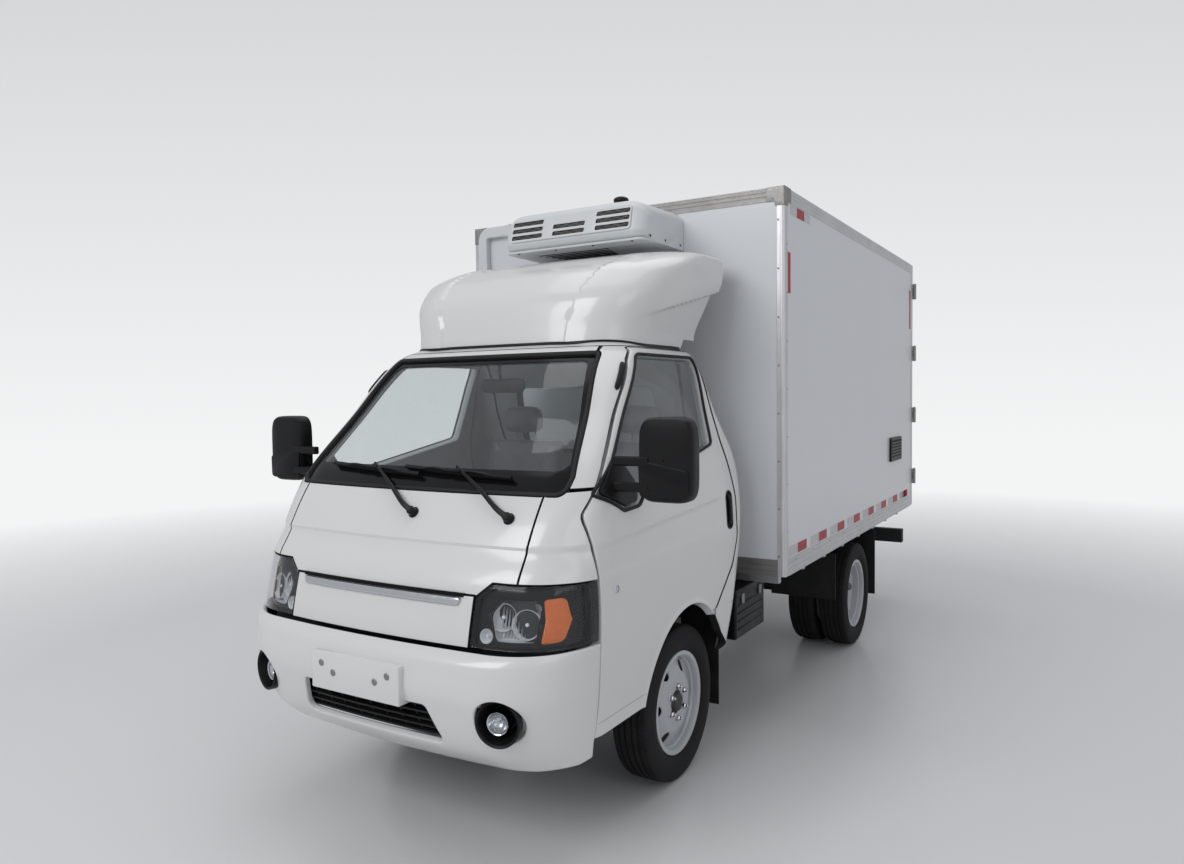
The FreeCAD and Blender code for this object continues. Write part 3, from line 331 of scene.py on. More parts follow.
def tube(piece, path, radius, look=0, sides=14, flat=1.0):
    path = np.asarray(path, float)
    along = unit(np.gradient(path, axis=0))
    start = np.array([0, 0, 1.0]) if abs(along[0][2]) < 0.9 else np.array([1.0, 0, 0])
    side = unit(np.cross(along, start))
    angle = np.linspace(0, 2 * math.pi, sides, endpoint=False)
    ring = np.stack([np.cos(angle) * radius, np.sin(angle) * radius * flat], 1)
    extrude(piece, path, side, np.cross(side, along), ring, look)


def turned(piece, centre, axis, profile, look=0, sides=64, closed=False):
    # A profile of (along, radius) points turned about an axis
    axis = np.asarray(axis, float)
    axis /= np.linalg.norm(axis)
    start = np.array([0, 0, 1.0]) if abs(axis[2]) < 0.9 else np.array([0, 1.0, 0])
    u = np.cross(axis, start)
    u /= np.linalg.norm(u)
    v = np.cross(axis, u)
    angle = np.linspace(0, 2 * math.pi, sides, endpoint=False)[:, None, None]
    profile = np.asarray(profile, float)
    ring = np.cos(angle) * u + np.sin(angle) * v
    points = np.asarray(centre) + axis * profile[None, :, :1] + ring * profile[None, :, 1:]
    piece.add(points.reshape(-1, 3), gridFaces(sides, len(profile), True, closed), look)


def prism(piece, loop, origin, a, b, depth, look=0, edge=0.002):
    # A flat outline pushed along the cross of its two axes, with rounded edges
    a, b = np.asarray(a, float), np.asarray(b, float)
    c = np.cross(a, b)
    loop = anticlockwise(loop)
    angles = np.radians([0, 45, 90])
    rings = [(edge * (1 - math.sin(q)), edge * (1 - math.cos(q))) for q in angles] if edge else [(0, 0)]
    rings = rings + [(i, depth - d) for i, d in reversed(rings)]
    points = np.concatenate([np.asarray(origin) + q[:, :1] * a + q[:, 1:] * b + c * d
                             for q, d in [(insetLoop(loop, i), d) for i, d in rings]])
    size = len(loop)
    order = np.arange(size)
    faces = gridFaces(len(rings), size, closeColumns=True)
    caps = [order[::-1][None], (order + size * (len(rings) - 1))[None]]
    piece.add(points, [faces] + caps, look)


def block(piece, low, high, look=0, edge=0.004):
    # A rounded block between two corners
    low, high = np.minimum(low, high), np.maximum(low, high)
    size = high - low
    edge = min(edge, 0.45 * size.min())
    prism(piece, boxLoop((0, 0), size[:2], edge, 0.2), low, (1, 0, 0), (0, 1, 0), size[2], look, edge)


def plate(piece, low, high, look=0):
    # A plain thin box, for reflective tape
    x, y, z = np.meshgrid([low[0], high[0]], [low[1], high[1]], [low[2], high[2]], indexing="ij")
    corners = np.stack([x.ravel(), y.ravel(), z.ravel()], 1)
    faces = np.array([[0, 1, 3, 2], [4, 6, 7, 5], [0, 4, 5, 1], [2, 3, 7, 6], [0, 2, 6, 4], [1, 5, 7, 3]])
    piece.add(corners, faces, look)


print("mesh tools ready")


# Materials: a socket wrapped so that plain arithmetic adds its nodes
class Value:
    def __init__(self, look, link):
        self.look, self.link = look, link

    def sum(self, kind, other, swap=False):
        first, second = (other, self) if swap else (self, other)
        return self.look.node("ShaderNodeMath", {"operation": kind}, {0: first, 1: second})

    def __add__(self, other): return self.sum("ADD", other)
    def __radd__(self, other): return self.sum("ADD", other, True)
    def __sub__(self, other): return self.sum("SUBTRACT", other)
    def __mul__(self, other): return self.sum("MULTIPLY", other)
    def __rmul__(self, other): return self.sum("MULTIPLY", other, True)


class Look:
    def __init__(self, name, colour, roughness=0.5, metallic=0.0, **fixed):
        self.material = bpy.data.materials.new(name)
        self.material.use_nodes = True
        self.tree = self.material.node_tree
        self.shader = self.tree.nodes["Principled BSDF"]
        self.set("Base Color", (*colour, 1))
        self.set("Roughness", roughness)
        self.set("Metallic", metallic)
        for socket, value in fixed.items():
            self.set(socket.replace("_", " "), value)

    def feed(self, target, value):
        if isinstance(value, Value):
            self.tree.links.new(value.link, target)
        else:
            target.default_value = value

    def set(self, socket, value):
        self.feed(self.shader.inputs[socket], value)

    def node(self, kind, settings=(), inputs=(), output=0):
        node = self.tree.nodes.new(kind)
        for key, value in dict(settings).items():
            setattr(node, key, value)
        for socket, value in dict(inputs).items():
            self.feed(node.inputs[socket], value)
        return Value(self, node.outputs[output])

    def place(self, scale=(1, 1, 1)):
        where = self.node("ShaderNodeTexCoord", output="Object")
        return self.node("ShaderNodeMapping", {}, {"Vector": where, "Scale": scale})

    def noise(self, scale, detail=3.0, stretch=(1, 1, 1)):
        inputs = {"Vector": self.place(stretch), "Scale": scale, "Detail": detail}
        return self.node("ShaderNodeTexNoise", {}, inputs)

    def between(self, share, first, second):
        # A mix of two colours, each a tuple or a socket
        first, second = ((*colour, 1) if isinstance(colour, tuple) else colour for colour in (first, second))
        return self.node("ShaderNodeMix", {"data_type": "RGBA"}, {0: share, 6: first, 7: second}, 2)

    def bump(self, height, strength, distance):
        inputs = {"Height": height, "Strength": strength, "Distance": distance}
        self.set("Normal", self.node("ShaderNodeBump", {}, inputs))
        return self

    def band(self, value, low, high):
        # 0 below low, 1 above high, a straight rise between
        inputs = {"Value": value, "From Min": low, "From Max": high}
        return self.node("ShaderNodeMapRange", {}, inputs)


def shaded(colour, amount):
    return tuple(min(1, c * amount) for c in colour)


def paint(name, colour, rough=0.24, grime=0.05, coat=0.6):
    # Sprayed paint: a faint orange peel and a little dust in patches
    look = Look(name, colour, rough, 0.0, Coat_Weight=coat, Coat_Roughness=0.06)
    dust = look.noise(2.2, 4.0)
    look.set("Base Color", look.between(dust * grime, colour, shaded(colour, 0.72)))
    look.set("Roughness", dust * 0.06 + (rough - 0.03))
    return look.bump(look.noise(140.0, 2.0), 0.02, 0.001).material


def plastic(name, colour, rough=0.55, grain=900.0, depth=0.25):
    # Moulded plastic: a fine leather-like grain and small changes of shade
    look = Look(name, colour, rough, Specular_IOR_Level=0.2)
    shade = look.noise(9.0, 4.0)
    look.set("Base Color", look.between(shade, shaded(colour, 0.8), shaded(colour, 1.25)))
    look.set("Roughness", shade * 0.2 + (rough - 0.1))
    return look.bump(look.noise(grain, 2.0), depth, 0.0006).material


def metal(name, colour, rough=0.35, stretch=(1, 1, 1), scale=60.0, grime=0.3):
    # Drawn or brushed metal: streaks along one direction, dull patches
    look = Look(name, colour, rough, 1.0)
    streak = look.noise(scale, 4.0, stretch)
    patch = look.band(look.noise(5.0, 5.0), 0.4, 0.8)
    look.set("Base Color", look.between(patch * grime, colour, shaded(colour, 0.55)))
    look.set("Roughness", streak * 0.3 + (rough - 0.1))
    return look.bump(streak, 0.06, 0.0008).material


def clear(name, tint, gloss=(1, 1, 1), least=0.04, rough=0.01):
    # Thin glass: what is behind it, tinted, under a mirror that grows with the fifth power of the slant
    look = Look(name, tint, rough)
    nodes, links = look.tree.nodes, look.tree.links
    through = look.node("ShaderNodeBsdfTransparent", {}, {"Color": (*tint, 1)})
    mirror = look.node("ShaderNodeBsdfGlossy", {}, {"Color": (*gloss, 1), "Roughness": rough})
    slant = look.node("ShaderNodeLayerWeight", {}, {"Blend": 0.5}, "Facing")
    edge = slant * slant * slant * slant * slant * (1 - least) + least
    blend = look.node("ShaderNodeMixShader", {}, {0: edge, 1: through, 2: mirror})
    links.new(blend.link, nodes["Material Output"].inputs["Surface"])
    nodes.remove(look.shader)
    return look.material


def cloth(name, colour, scale=620.0):
    # Woven seat cloth, two crossed waves, under the crumpled clear film it is delivered in
    look = Look(name, colour, 0.6, Sheen_Weight=0.25, Coat_Weight=0.8, Coat_Roughness=0.16)
    wave = {"Vector": look.place((scale, scale, scale)), "Scale": 0.5, "Distortion": 1.5}
    weave = look.node("ShaderNodeTexWave", {"bands_direction": "X"}, wave)
    cross = look.node("ShaderNodeTexWave", {"bands_direction": "Z"}, wave)
    shade = look.noise(12.0, 4.0)
    look.set("Base Color", look.between(shade, shaded(colour, 0.7), shaded(colour, 1.5)))
    return look.bump(weave * cross * 0.03 + look.noise(17.0, 6.0, (1, 1, 0.45)), 0.7, 0.014).material


def rubber(name, colour=(0.010, 0.010, 0.011), rough=0.75, dust=(0.045, 0.042, 0.04)):
    # Rubber: fine grained, with patches of dry dust
    look = Look(name, colour, rough, Specular_IOR_Level=0.28)
    patch = look.band(look.noise(14.0, 6.0), 0.45, 0.8)
    look.set("Base Color", look.between(patch * 0.35, colour, dust))
    look.set("Roughness", patch * 0.15 + rough)
    return look.bump(look.noise(300.0, 3.0), 0.15, 0.0008).material


def lens(name, colour):
    # Coloured lamp plastic: small square flutes, a little deeper in colour in places
    look = Look(name, colour, 0.14, Coat_Weight=0.7)
    shade = look.noise(30.0, 2.0)
    look.set("Base Color", look.between(shade, shaded(colour, 0.75), colour))
    flutes = look.node("ShaderNodeTexVoronoi", {"distance": "CHEBYCHEV"},
                       {"Vector": look.place(), "Scale": 160.0})
    return look.bump(flutes, 0.25, 0.001).material


def tape(name, colour):
    # Reflective tape: a fine honeycomb under a smooth film
    look = Look(name, colour, 0.4, Coat_Weight=0.08, Specular_IOR_Level=0.25)
    cells = {"Vector": look.place(), "Scale": 260.0}
    rims = look.node("ShaderNodeTexVoronoi", {"feature": "DISTANCE_TO_EDGE"}, cells)
    look.set("Base Color", look.between(look.band(rims, 0.0, 0.12), shaded(colour, 1.5), colour))
    look.set("Roughness", look.noise(40.0) * 0.2 + 0.3)
    return look.material


whitePaint = paint("cabWhite", (0.725, 0.73, 0.72))
# Near-black painted shade: panel rims and undersides, the backs of slots and vents, and seam lines take it
# for the shadow in gaps and openings
paintedGapShade = plastic("paintedGapShade", (0.01, 0.01, 0.01), 0.7)
boxWhite = paint("boxWhite", (0.70, 0.72, 0.745), 0.3, 0.04, 0.3)
unitWhite = paint("unitWhite", (0.66, 0.68, 0.69), 0.42, 0.08, 0.1)
chassisBlack = paint("chassisBlack", (0.010, 0.010, 0.011), 0.6, 0.6, 0.0)
blackGloss = plastic("blackGloss", (0.006, 0.006, 0.0065), 0.16, 80.0, 0.02)
blackPlastic = plastic("blackPlastic", (0.007, 0.007, 0.0075), 0.38)
dashPlastic = plastic("dashPlastic", (0.045, 0.048, 0.052), 0.6)
trimPlastic = plastic("trimPlastic", (0.42, 0.425, 0.42), 0.65)
aluminium = metal("brushedAluminium", (0.62, 0.62, 0.63), 0.36, (1, 1, 0.02), 240.0)
railAluminium = metal("railAluminium", (0.60, 0.60, 0.61), 0.36, (1, 0.02, 1), 240.0)
floorAluminium = metal("floorAluminium", (0.5, 0.5, 0.51), 0.45, (1, 0.05, 1), 120.0)
steel = metal("dullSteel", (0.32, 0.31, 0.30), 0.45, (1, 1, 1), 60.0, 0.6)
castIron = metal("castIron", (0.12, 0.115, 0.11), 0.65, (1, 1, 1), 90.0, 0.5)
chrome = metal("chrome", (0.56, 0.57, 0.59), 0.12, (1, 1, 1), 30.0, 0.05)
# Pale grey paint in place of the reflectors' mirror metal: a painted reflection, bright whatever it faces
paintedReflectorGleam = paint("paintedReflectorGleam", (0.72, 0.73, 0.75), 0.2, 0.1, 1.0)
wheelSilver = paint("wheelSilver", (0.50, 0.52, 0.54), 0.34, 0.15, 0.3)
tyreRubber = rubber("tyreRubber")
sealRubber = rubber("sealRubber", (0.012, 0.012, 0.012), 0.55)
windowGlass = clear("windowGlass", (0.90, 0.92, 0.92), least=0.05)
lampGlass = clear("lampGlass", (0.97, 0.98, 0.985), least=0.02)
amberGlass = lens("amberLens", (0.85, 0.17, 0.006))
redLens = lens("redLens", (0.62, 0.015, 0.012))
tapeRed = tape("tapeRed", (0.33, 0.010, 0.018))
tapeWhite = tape("tapeWhite", (0.50, 0.50, 0.50))
seatCloth = cloth("seatCloth", (0.11, 0.113, 0.12))
print("materials mixed")


# The cab's skin: plan sections of a slow front arc, a corner arc, a straight side and a tight rear corner
cab = {
    "nose": -1.115, "half": 0.81, "back": 0.565, "slow": 5.6,
    "skirt": 0.46, "belt": 1.32, "roof": 1.905, "gap": 0.006,
    "doorFront": -0.793, "doorTop": 1.868, "doorBottom": 0.466, "lean": 0.2,
    "archStation": -0.065, "archHeight": 0.41, "archRadius": 0.37,
    "headerHalf": 0.53, "backHalf": 0.56, "wheelSpace": 0.70,
    "lampInner": 0.452, "lampLow": 0.818, "lampTop": 1.03, "bumperTop": 0.812, "bumperLow": 0.35,
    "bulge": 0.062,
}


def steady(x, knots, values):
    # Cubic through the knots with no overshoot: slopes are the harmonic mean of the neighbouring chords
    run, rise = np.diff(knots), np.diff(values)
    chord = rise / run
    product = chord[:-1] * chord[1:]
    slope = np.where(product > 0, 2 * product / np.where(product > 0, chord[:-1] + chord[1:], 1), 0)
    slope = np.concatenate([chord[:1], slope, chord[-1:]])
    i = np.clip(np.searchsorted(knots, x) - 1, 0, len(run) - 1)
    f = (x - knots[i]) / run[i]
    straight = (f < 0) | (f > 1)
    h = values[i] * (2 * f ** 3 - 3 * f ** 2 + 1) + values[i + 1] * (3 * f ** 2 - 2 * f ** 3)
    h = h + run[i] * (slope[i] * (f ** 3 - 2 * f ** 2 + f) + slope[i + 1] * (f ** 3 - f ** 2))
    line = values[i] + np.where(f > 1, 1 + (f - 1), f) * rise[i]
    return np.where(straight, line, h)


def rise(value, low, high):
    share = np.clip((value - low) / (high - low), 0, 1)
    return share * share * (3 - 2 * share)


class Skin:
    # Points on the skin are named by their distance round the plan section, from the nose, and their height
    # Each row is a height with its nose station, half width, back station and corner radius
    def __init__(self, rows, relief=None, rear=0.06):
        self.rear = rear
        self.knots = np.array([r[0] for r in rows])
        self.columns = [np.array([r[i] for r in rows]) for i in range(1, 5)]
        self.relief = relief

    def level(self, z):
        nose, half, back, corner = (steady(z, self.knots, c) for c in self.columns)
        slow, rear = cab["slow"], self.rear
        cx = half - corner
        cy = nose + slow - np.sqrt((slow - corner) ** 2 - cx ** 2)
        lean = np.arcsin(cx / (slow - corner))
        ends = np.cumsum([slow * lean, corner * (math.pi / 2 - lean), back - rear - cy,
                          0 * z + rear * math.pi / 2], 0)
        return nose, half, back, corner, cx, cy, lean, ends

    def bare(self, t, z):
        nose, half, back, corner, cx, cy, lean, ends = self.level(z)
        slow, rear = cab["slow"], self.rear
        sign, s = np.where(t < 0, -1.0, 1.0), np.abs(t)
        a = s / slow
        b = lean + (s - ends[0]) / corner
        d = (s - ends[2]) / rear
        zones = [s < ends[0], s < ends[1], s < ends[2], s < ends[3]]
        x = np.select(zones, [slow * np.sin(a), cx + corner * np.sin(b), half,
                              half - rear + rear * np.cos(d)],
                      half - rear - (s - ends[3]))
        y = np.select(zones, [nose + slow * (1 - np.cos(a)), cy - corner * np.cos(b), cy + s - ends[1],
                              back - rear + rear * np.sin(d)], back)
        return np.stack([sign * x, y + axleY, z + 0 * x], -1)

    def __call__(self, t, z):
        h = 1e-4
        p = self.bare(t, z)
        across, above = self.bare(t + h, z) - self.bare(t - h, z), self.bare(t, z + h) - self.bare(t, z - h)
        normal = unit(np.cross(across, above))
        if self.relief is not None:
            # The relief's slope along each direction tips the normal
            step, upright = 2e-3, normal
            lift = self.relief(p[..., 0], p[..., 1] - axleY, z)
            for q, height in ((self.bare(t + step, z), z), (self.bare(t, z + step), z + step)):
                slope = (self.relief(q[..., 0], q[..., 1] - axleY, height) - lift) / step
                run = (q - p) / step
                normal = normal - run * slope[..., None] / (run ** 2).sum(-1)[..., None]
            p, normal = p + upright * lift[..., None], unit(normal)
        return p, normal

    def front(self, x, z):
        # Points and normals at (x, z) seen from the front
        return self(*self.fromFront(pairs(np.atleast_1d(x), z)).T)

    def fromFront(self, loop):
        # (x, z) seen from the front becomes (distance round, z)
        x, z = loop[:, 0], loop[:, 1]
        corner, cx, lean, ends = [self.level(z)[i] for i in (3, 4, 6, 7)]
        s = np.abs(x)
        flat = cab["slow"] * np.arcsin(np.clip(s / cab["slow"], 0, 1))
        bent = ends[0] + corner * (np.arcsin(np.clip((s - cx) / corner, -1, 1)) - lean)
        return np.stack([np.sign(x) * np.where(flat < ends[0], flat, bent), z], 1)

    def fromSide(self, loop, side=1):
        # (station, z) seen from the left becomes (distance round, z)
        y, z = loop[:, 0], loop[:, 1]
        back, corner, cy, lean, ends = [self.level(z)[i] for i in (2, 3, 5, 6, 7)]
        rear = self.rear
        bent = ends[0] + corner * (np.arccos(np.clip((cy - y) / corner, -1, 1)) - lean)
        tail = ends[2] + rear * np.arcsin(np.clip((y - back + rear) / rear, 0, 1))
        straight = ends[1] + y - cy
        return np.stack([side * np.select([y < cy, y < back - rear], [bent, straight], tail), z], 1)

    def fromBack(self, x, z):
        # (x, z) on the flat back becomes (distance round, z)
        half, ends = [self.level(z)[i] for i in (1, 7)]
        return np.stack([ends[3] + half - self.rear - x, z], 1)


def cabRows():
    # Height, then how far the nose, side and back draw in there and the corner radius, in millimetres
    low, belt, roof = cab["skirt"], cab["belt"], cab["roof"]
    rows = [(low, 85, 25, 165, 280), (low + 0.24, 10, 7, 95, 280), (belt - 0.33, 60, 0, 30, 280),
            (belt - 0.18, 130, 5, 5, 270), (belt, 245, 22, 15, 220), (belt + 0.265, 495, 85, 115, 180),
            (roof - 0.055, 745, 168, 200, 160), (roof, 850, 260, 270, 160)]
    return [(z, cab["nose"] + n / 1000, cab["half"] - s / 1000, cab["back"] - b / 1000, c / 1000)
            for z, n, s, b, c in rows]


def cabRelief(x, y, z):
    # A sunk band between two lines along the side, a lip round the wheel arch, and the ledge round the nose
    side = rise(y, -0.80, -0.74) * (1 - rise(y, 0.22, 0.34))
    upper = 1.149 + 0.05 * (y + 0.768)
    lower = 1.042 + 0.035 * (y + 0.78)
    lift = -0.006 * side * rise(z, lower - 0.006, lower + 0.008) * (1 - rise(z, upper - 0.010, upper))
    reach = np.hypot(y - cab["archStation"], z - cab["archHeight"]) - cab["archRadius"]
    lift = lift + 0.007 * (1 - rise(reach, 0.004, 0.03)) * rise(y, -0.6, -0.5)
    front = (1 - rise(y, -0.84, -0.78)) * (1 - rise(z, 1.139, 1.149)) * rise(z, 1.035, 1.13)
    return lift - 0.008 * front


cabSkin = Skin(cabRows(), cabRelief)
cabPlain = Skin(cabRows())


def leaned(loop, skin=cabSkin):
    # Side outlines are cut with edges that lean back across the corner, so the station shifts with the width
    loop = np.array(loop, float)
    shifted = loop
    for turn in range(3):
        x = skin.bare(*skin.fromSide(shifted).T)[:, 0]
        shifted = pairs(loop[:, 0] + cab["lean"] * (x - 0.8), loop[:, 1])
    return skin.fromSide(shifted)


def doorLoop(g=0.0):
    # The door from the side, (station, height), grown by g; its foot follows the wheel arch
    front, belt, top, low = cab["doorFront"], cab["belt"], cab["doorTop"], cab["doorBottom"]
    ay, az, ar = cab["archStation"], cab["archHeight"], cab["archRadius"] + cab["gap"]
    arc = np.linspace(math.acos((0.19 + g - ay) / ar), math.pi - math.asin(min(1, (low - g - az) / ar)), 42)
    corners = [(front - g, low - g), (front - g, belt - 0.07, 0.06), (-0.624 - g, belt + 0.113 + g, 0.2),
               (-0.262 - g, 1.812 + g, 0.09), (-0.19, top + g), (0.369 + g, top + g, 0.03),
               (0.379 + g, 1.45, 0.3), (0.455 + g, 1.19, 0.15), (0.455 + g, 1.0, 0.12),
               (0.4 + g, 0.88 - g, 0.08)]
    arch = [(ay + ar * math.cos(q), az + ar * math.sin(q)) for q in arc]
    return roundedLoop(corners + arch, 0.014)


def windowLoop(s=0.0):
    # The door's window from the side, drawn in by s
    belt, top = cab["belt"], cab["doorTop"]
    return roundedLoop([(-0.735 + s, belt + 0.003 + s, 0.008), (-0.6, belt - 0.066 + s, 0.03),
                        (-0.48, belt - 0.06 + s, 0.05), (-0.4, belt + 0.01 + s, 0.06),
                        (0.268 - s, belt + 0.13 + s, 0.025), (0.33 - s, 1.78 - s),
                        (0.33 - s, top - 0.036 - s, 0.025),
                        (-0.196 + s, top - 0.036 - s, 0.06), (-0.6 + s, belt + 0.11)], 0.012)


def windscreenLoop(s=0.0):
    belt, top = cab["belt"], 1.848 - s
    return evenLoop([(0.678 - s, belt - 0.002 + s, 0.034), (0.68 - s, belt + 0.06), (0.55 - s, top, 0.03)],
                    0.014)


def backWindowLoop(s=0.0):
    return roundedLoop([(-0.43 + s, 1.38 + s, 0.05), (0.43 - s, 1.38 + s, 0.05), (0.40 - s, 1.72 - s, 0.05),
                        (-0.40 + s, 1.72 - s, 0.05)], 0.014)


def sunk(depth, skin=cabPlain):
    # The same skin drawn in by an even amount
    def surface(t, z):
        p, n = skin(t, z)
        return p - n * depth, n
    return surface


def flatSurface(origin, a, b):
    # A plane through a place, with its two axes
    a, b, origin = np.asarray(a, float), np.asarray(b, float), np.asarray(origin, float)
    normal = np.cross(a, b)

    def surface(u, v):
        p = origin + u[:, None] * a + v[:, None] * b
        return p, np.broadcast_to(normal, p.shape)
    return surface


sealProfile = [(-0.006, -0.004), (-0.006, 0.004), (-0.003, 0.0065), (0.003, 0.0065), (0.006, 0.004),
               (0.006, -0.004)]

# Doors: pressed outer skin, moulded inner lining, a rubber seal round the glass
door = {"wall": 0.041, "handle": (0.376, 1.134), "handleWide": 0.033, "handleTall": 0.088}


def makeDoors():
    # The front edge of the lower door keeps inside the round edge that turns on the hinge pins
    outline, window = leaned(doorLoop()), leaned(windowLoop(-0.004))
    shape = Piece("door_skin_left", whitePaint, paintedGapShade, trimPlastic)
    s, z = door["handle"]
    w, h = door["handleWide"], door["handleTall"]
    pull = leaned(boxLoop((s - w, z - h), (s + w, z + h), w * 0.96, 0.006))
    panel(shape, cabSkin, outline, [window, pull], door["wall"], 0.009, 0.0035, looks=(0, 0, 2))
    # Recess behind the pull and the pull itself
    cup = Piece("door_handle_left", blackPlastic, blackGloss)
    panel(cup, sunk(0.014), insetLoop(anticlockwise(pull), -0.002), (), 0.012, 0.01, 0.001)
    bead(cup, cabSkin, insetLoop(anticlockwise(pull), 0.002),
         [(-0.0035, -0.014), (-0.0035, 0.0015), (0.003, 0.003), (0.0045, 0.0), (0.0045, -0.014)])
    rows, sides = 26, 18
    share = np.linspace(-1, 1, rows)
    centre, up = cabPlain(*cabPlain.fromSide(pairs(s, z + share * (h - 0.012))).T)
    centre = centre + up * (0.006 - 0.016 * share[:, None] ** 6)
    width = 0.0145 * (1 - 0.25 * share ** 4)
    angle = np.linspace(0, 2 * math.pi, sides, endpoint=False)
    ring = centre[:, None] + [0, 1.0, 0] * (width[:, None] * np.cos(angle))[..., None]
    ring = ring + up[:, None] * (0.0075 * np.sin(angle))[None, :, None]
    cup.add(ring.reshape(-1, 3), gridFaces(rows, sides, closeColumns=True)[:, ::-1], 1)
    seal = Piece("door_seal_left", sealRubber, blackPlastic)
    bead(seal, cabSkin, insetLoop(window, -0.002), sealProfile)
    pane = Piece("door_pane_left", windowGlass)
    panel(pane, sunk(0.012), leaned(windowLoop(0.001), cabPlain), (), 0.005, 0.03, 0.0008)
    makePair(shape, "cab_door_", "paint", "door_")
    makePair(seal, "cab_door_", "black_plastic")
    makePair(cup, "cab_door_", "black_plastic")
    makePair(pane, "cab_door_", "glass", "door_glass_")


makeDoors()
print("doors pressed")

# Panels round the nose, each cut to its shut lines from the one skin
nose = {"bonnetHalf": 0.605, "split": 1.336, "bonnetLow": 0.988, "lampCornerX": 0.058, "lampCornerZ": 0.048,
        "gap": 0.0025}


def sideEnd(z):
    # Distance round the skin at which a panel stops at the door, for each height
    return leaned(pairs(cab["doorFront"] - cab["gap"], z))[:, 0]


def openingEdge(z):
    # The same along the door opening's own outline, where it turns up into the windscreen pillar
    loop = leaned(doorLoop(cab["gap"]))
    station = cabSkin.bare(*loop.T)[:, 1] - axleY
    loop = loop[(station < -0.45) & (loop[:, 1] > 0.6)]
    loop = loop[np.argsort(loop[:, 1])]
    return np.interp(z, loop[:, 1], loop[:, 0])


def between(a, b, step=0.014):
    a, b = np.asarray(a, float), np.asarray(b, float)
    n = max(2, int(np.linalg.norm(b - a) / step))
    return a + (b - a) * np.linspace(0, 1, n, endpoint=False)[:, None]


def pathLoop(points):
    # Closed loop of straight runs through the (distance round, height) points
    points = [np.asarray(p, float) for p in points]
    return np.concatenate([between(p, points[(i + 1) % len(points)]) for i, p in enumerate(points)])


def roundOf(x, z):
    return cabSkin.fromFront(np.array([[x, z]]))[0]


def makeNose():
    g = nose["gap"]
    half, split, low, top = nose["bonnetHalf"], nose["split"], nose["bonnetLow"], cab["lampTop"]
    x, cx, cz = cab["lampInner"], nose["lampCornerX"], nose["lampCornerZ"]
    # The bonnet reaches up to the windscreen seal and is cut at the lamps' inner corners
    bonnet = Piece("bonnet_skin", whitePaint, paintedGapShade, paintedGapShade)
    right = cabSkin.fromFront(pairs(half - g / 2, np.linspace(top + g, 1.318, 26)))
    notch = [roundOf(x + cx, top + g), roundOf(x - g, top - cz), roundOf(x - g, low)]
    lower = between(-notch[2] * [1, -1], notch[2])
    upper = cabSkin.fromFront(windscreenLoop(-0.0025))
    lowArc = upper[(upper[:, 1] < 1.322) & (np.abs(upper[:, 0]) < right[-1, 0])]
    lowArc = lowArc[np.argsort(-lowArc[:, 0])]
    side = np.concatenate([between(notch[2], notch[1]), between(notch[1], notch[0]),
                           between(notch[0], right[0]),
                           right])
    outline = np.concatenate([lower, side, lowArc, (side * [-1, 1])[::-1]])
    # Its rim and underside are painted shade, near-black for the shadow in the shut gaps
    panel(bonnet, cabSkin, outline, (), 0.020, 0.008, 0.003, looks=(0, 1, 2))
    # Corner panels between bonnet, windscreen, lamp and door
    corner = Piece("corner_skins", whitePaint, paintedGapShade, paintedGapShade)
    inner = right + [g, 0]
    heights = np.linspace(top + g, split, 24)
    edge = pairs(openingEdge(heights), heights)
    post = upper[(upper[:, 0] > inner[-1, 0]) & (upper[:, 1] < split)]
    post = post[np.argsort(post[:, 0])]
    outline = np.concatenate([inner[::-1], between(inner[0], edge[0])[1:], edge,
                              between(edge[-1], post[-1] + [0.001, 0])[1:], post[::-1]])
    # Rims and undersides in painted shade, near-black for the shadow in the shut gaps
    panel(corner, cabSkin, outline, (), 0.020, 0.008, 0.003, looks=(0, 1, 2))
    corner.both()
    # Grille panel with the bright bar along its head
    grille = Piece("grille_skin", whitePaint, paintedGapShade, paintedGapShade, chrome)
    b = cab["bumperTop"] + 0.0015
    end = x - 0.006
    corners = [roundOf(-end, b), roundOf(end, b), roundOf(end, low - g), roundOf(-end, low - g)]
    # Its rim and underside are painted shade, near-black for the shadow in the shut gaps
    panel(grille, cabSkin, pathLoop(corners), (), 0.020, 0.02, 0.003, looks=(0, 1, 2))
    bonnet.make("truck", "paint", ["front_panel"])
    corner.make("truck", "paint", ["corner_panels"])
    bar = Piece("grille_bar", chrome, blackGloss)
    lower = pathLoop([roundOf(-0.400, 0.976), roundOf(-0.384, 0.947), roundOf(0.384, 0.947),
                      roundOf(0.400, 0.976)])
    panel(bar, cabSkin, lower, (), 0.014, 0.01, 0.007, 0.011)
    upper = pathLoop([roundOf(-0.409, 0.992), roundOf(-0.401, 0.977), roundOf(0.401, 0.977),
                      roundOf(0.409, 0.992)])
    panel(bar, cabSkin, upper, (), 0.010, 0.01, 0.002, 0.006, (1, 1, 1))
    for across in np.linspace(-0.396, 0.396, 100):
        p, n = cabSkin.front(across, [0.979, 0.990])
        carry(bar, p + n * 0.007, [1.0, 0, 0], n, [(-0.0018, -0.002), (0, 0.0014), (0.0018, -0.002)], 1,
              False)
    grille.make("truck", "paint", ["grille_panel"])
    bar.make("truck", "paint")


makeNose()
print("nose panels pressed")


def stretch(loop, keep):
    # The unbroken run of a closed loop where the mask holds
    start = np.flatnonzero(keep & ~np.roll(keep, 1))
    loop, keep = np.roll(loop, -start[0], 0), np.roll(keep, -start[0])
    end = np.flatnonzero(~keep)
    return loop[: end[0]] if len(end) else loop


# Windscreen frame, roof, rear quarters and back panel
shell = {"sideInner": 0.738, "screenBorder": 0.035, "screenFoot": 0.085, "wall": 0.036}


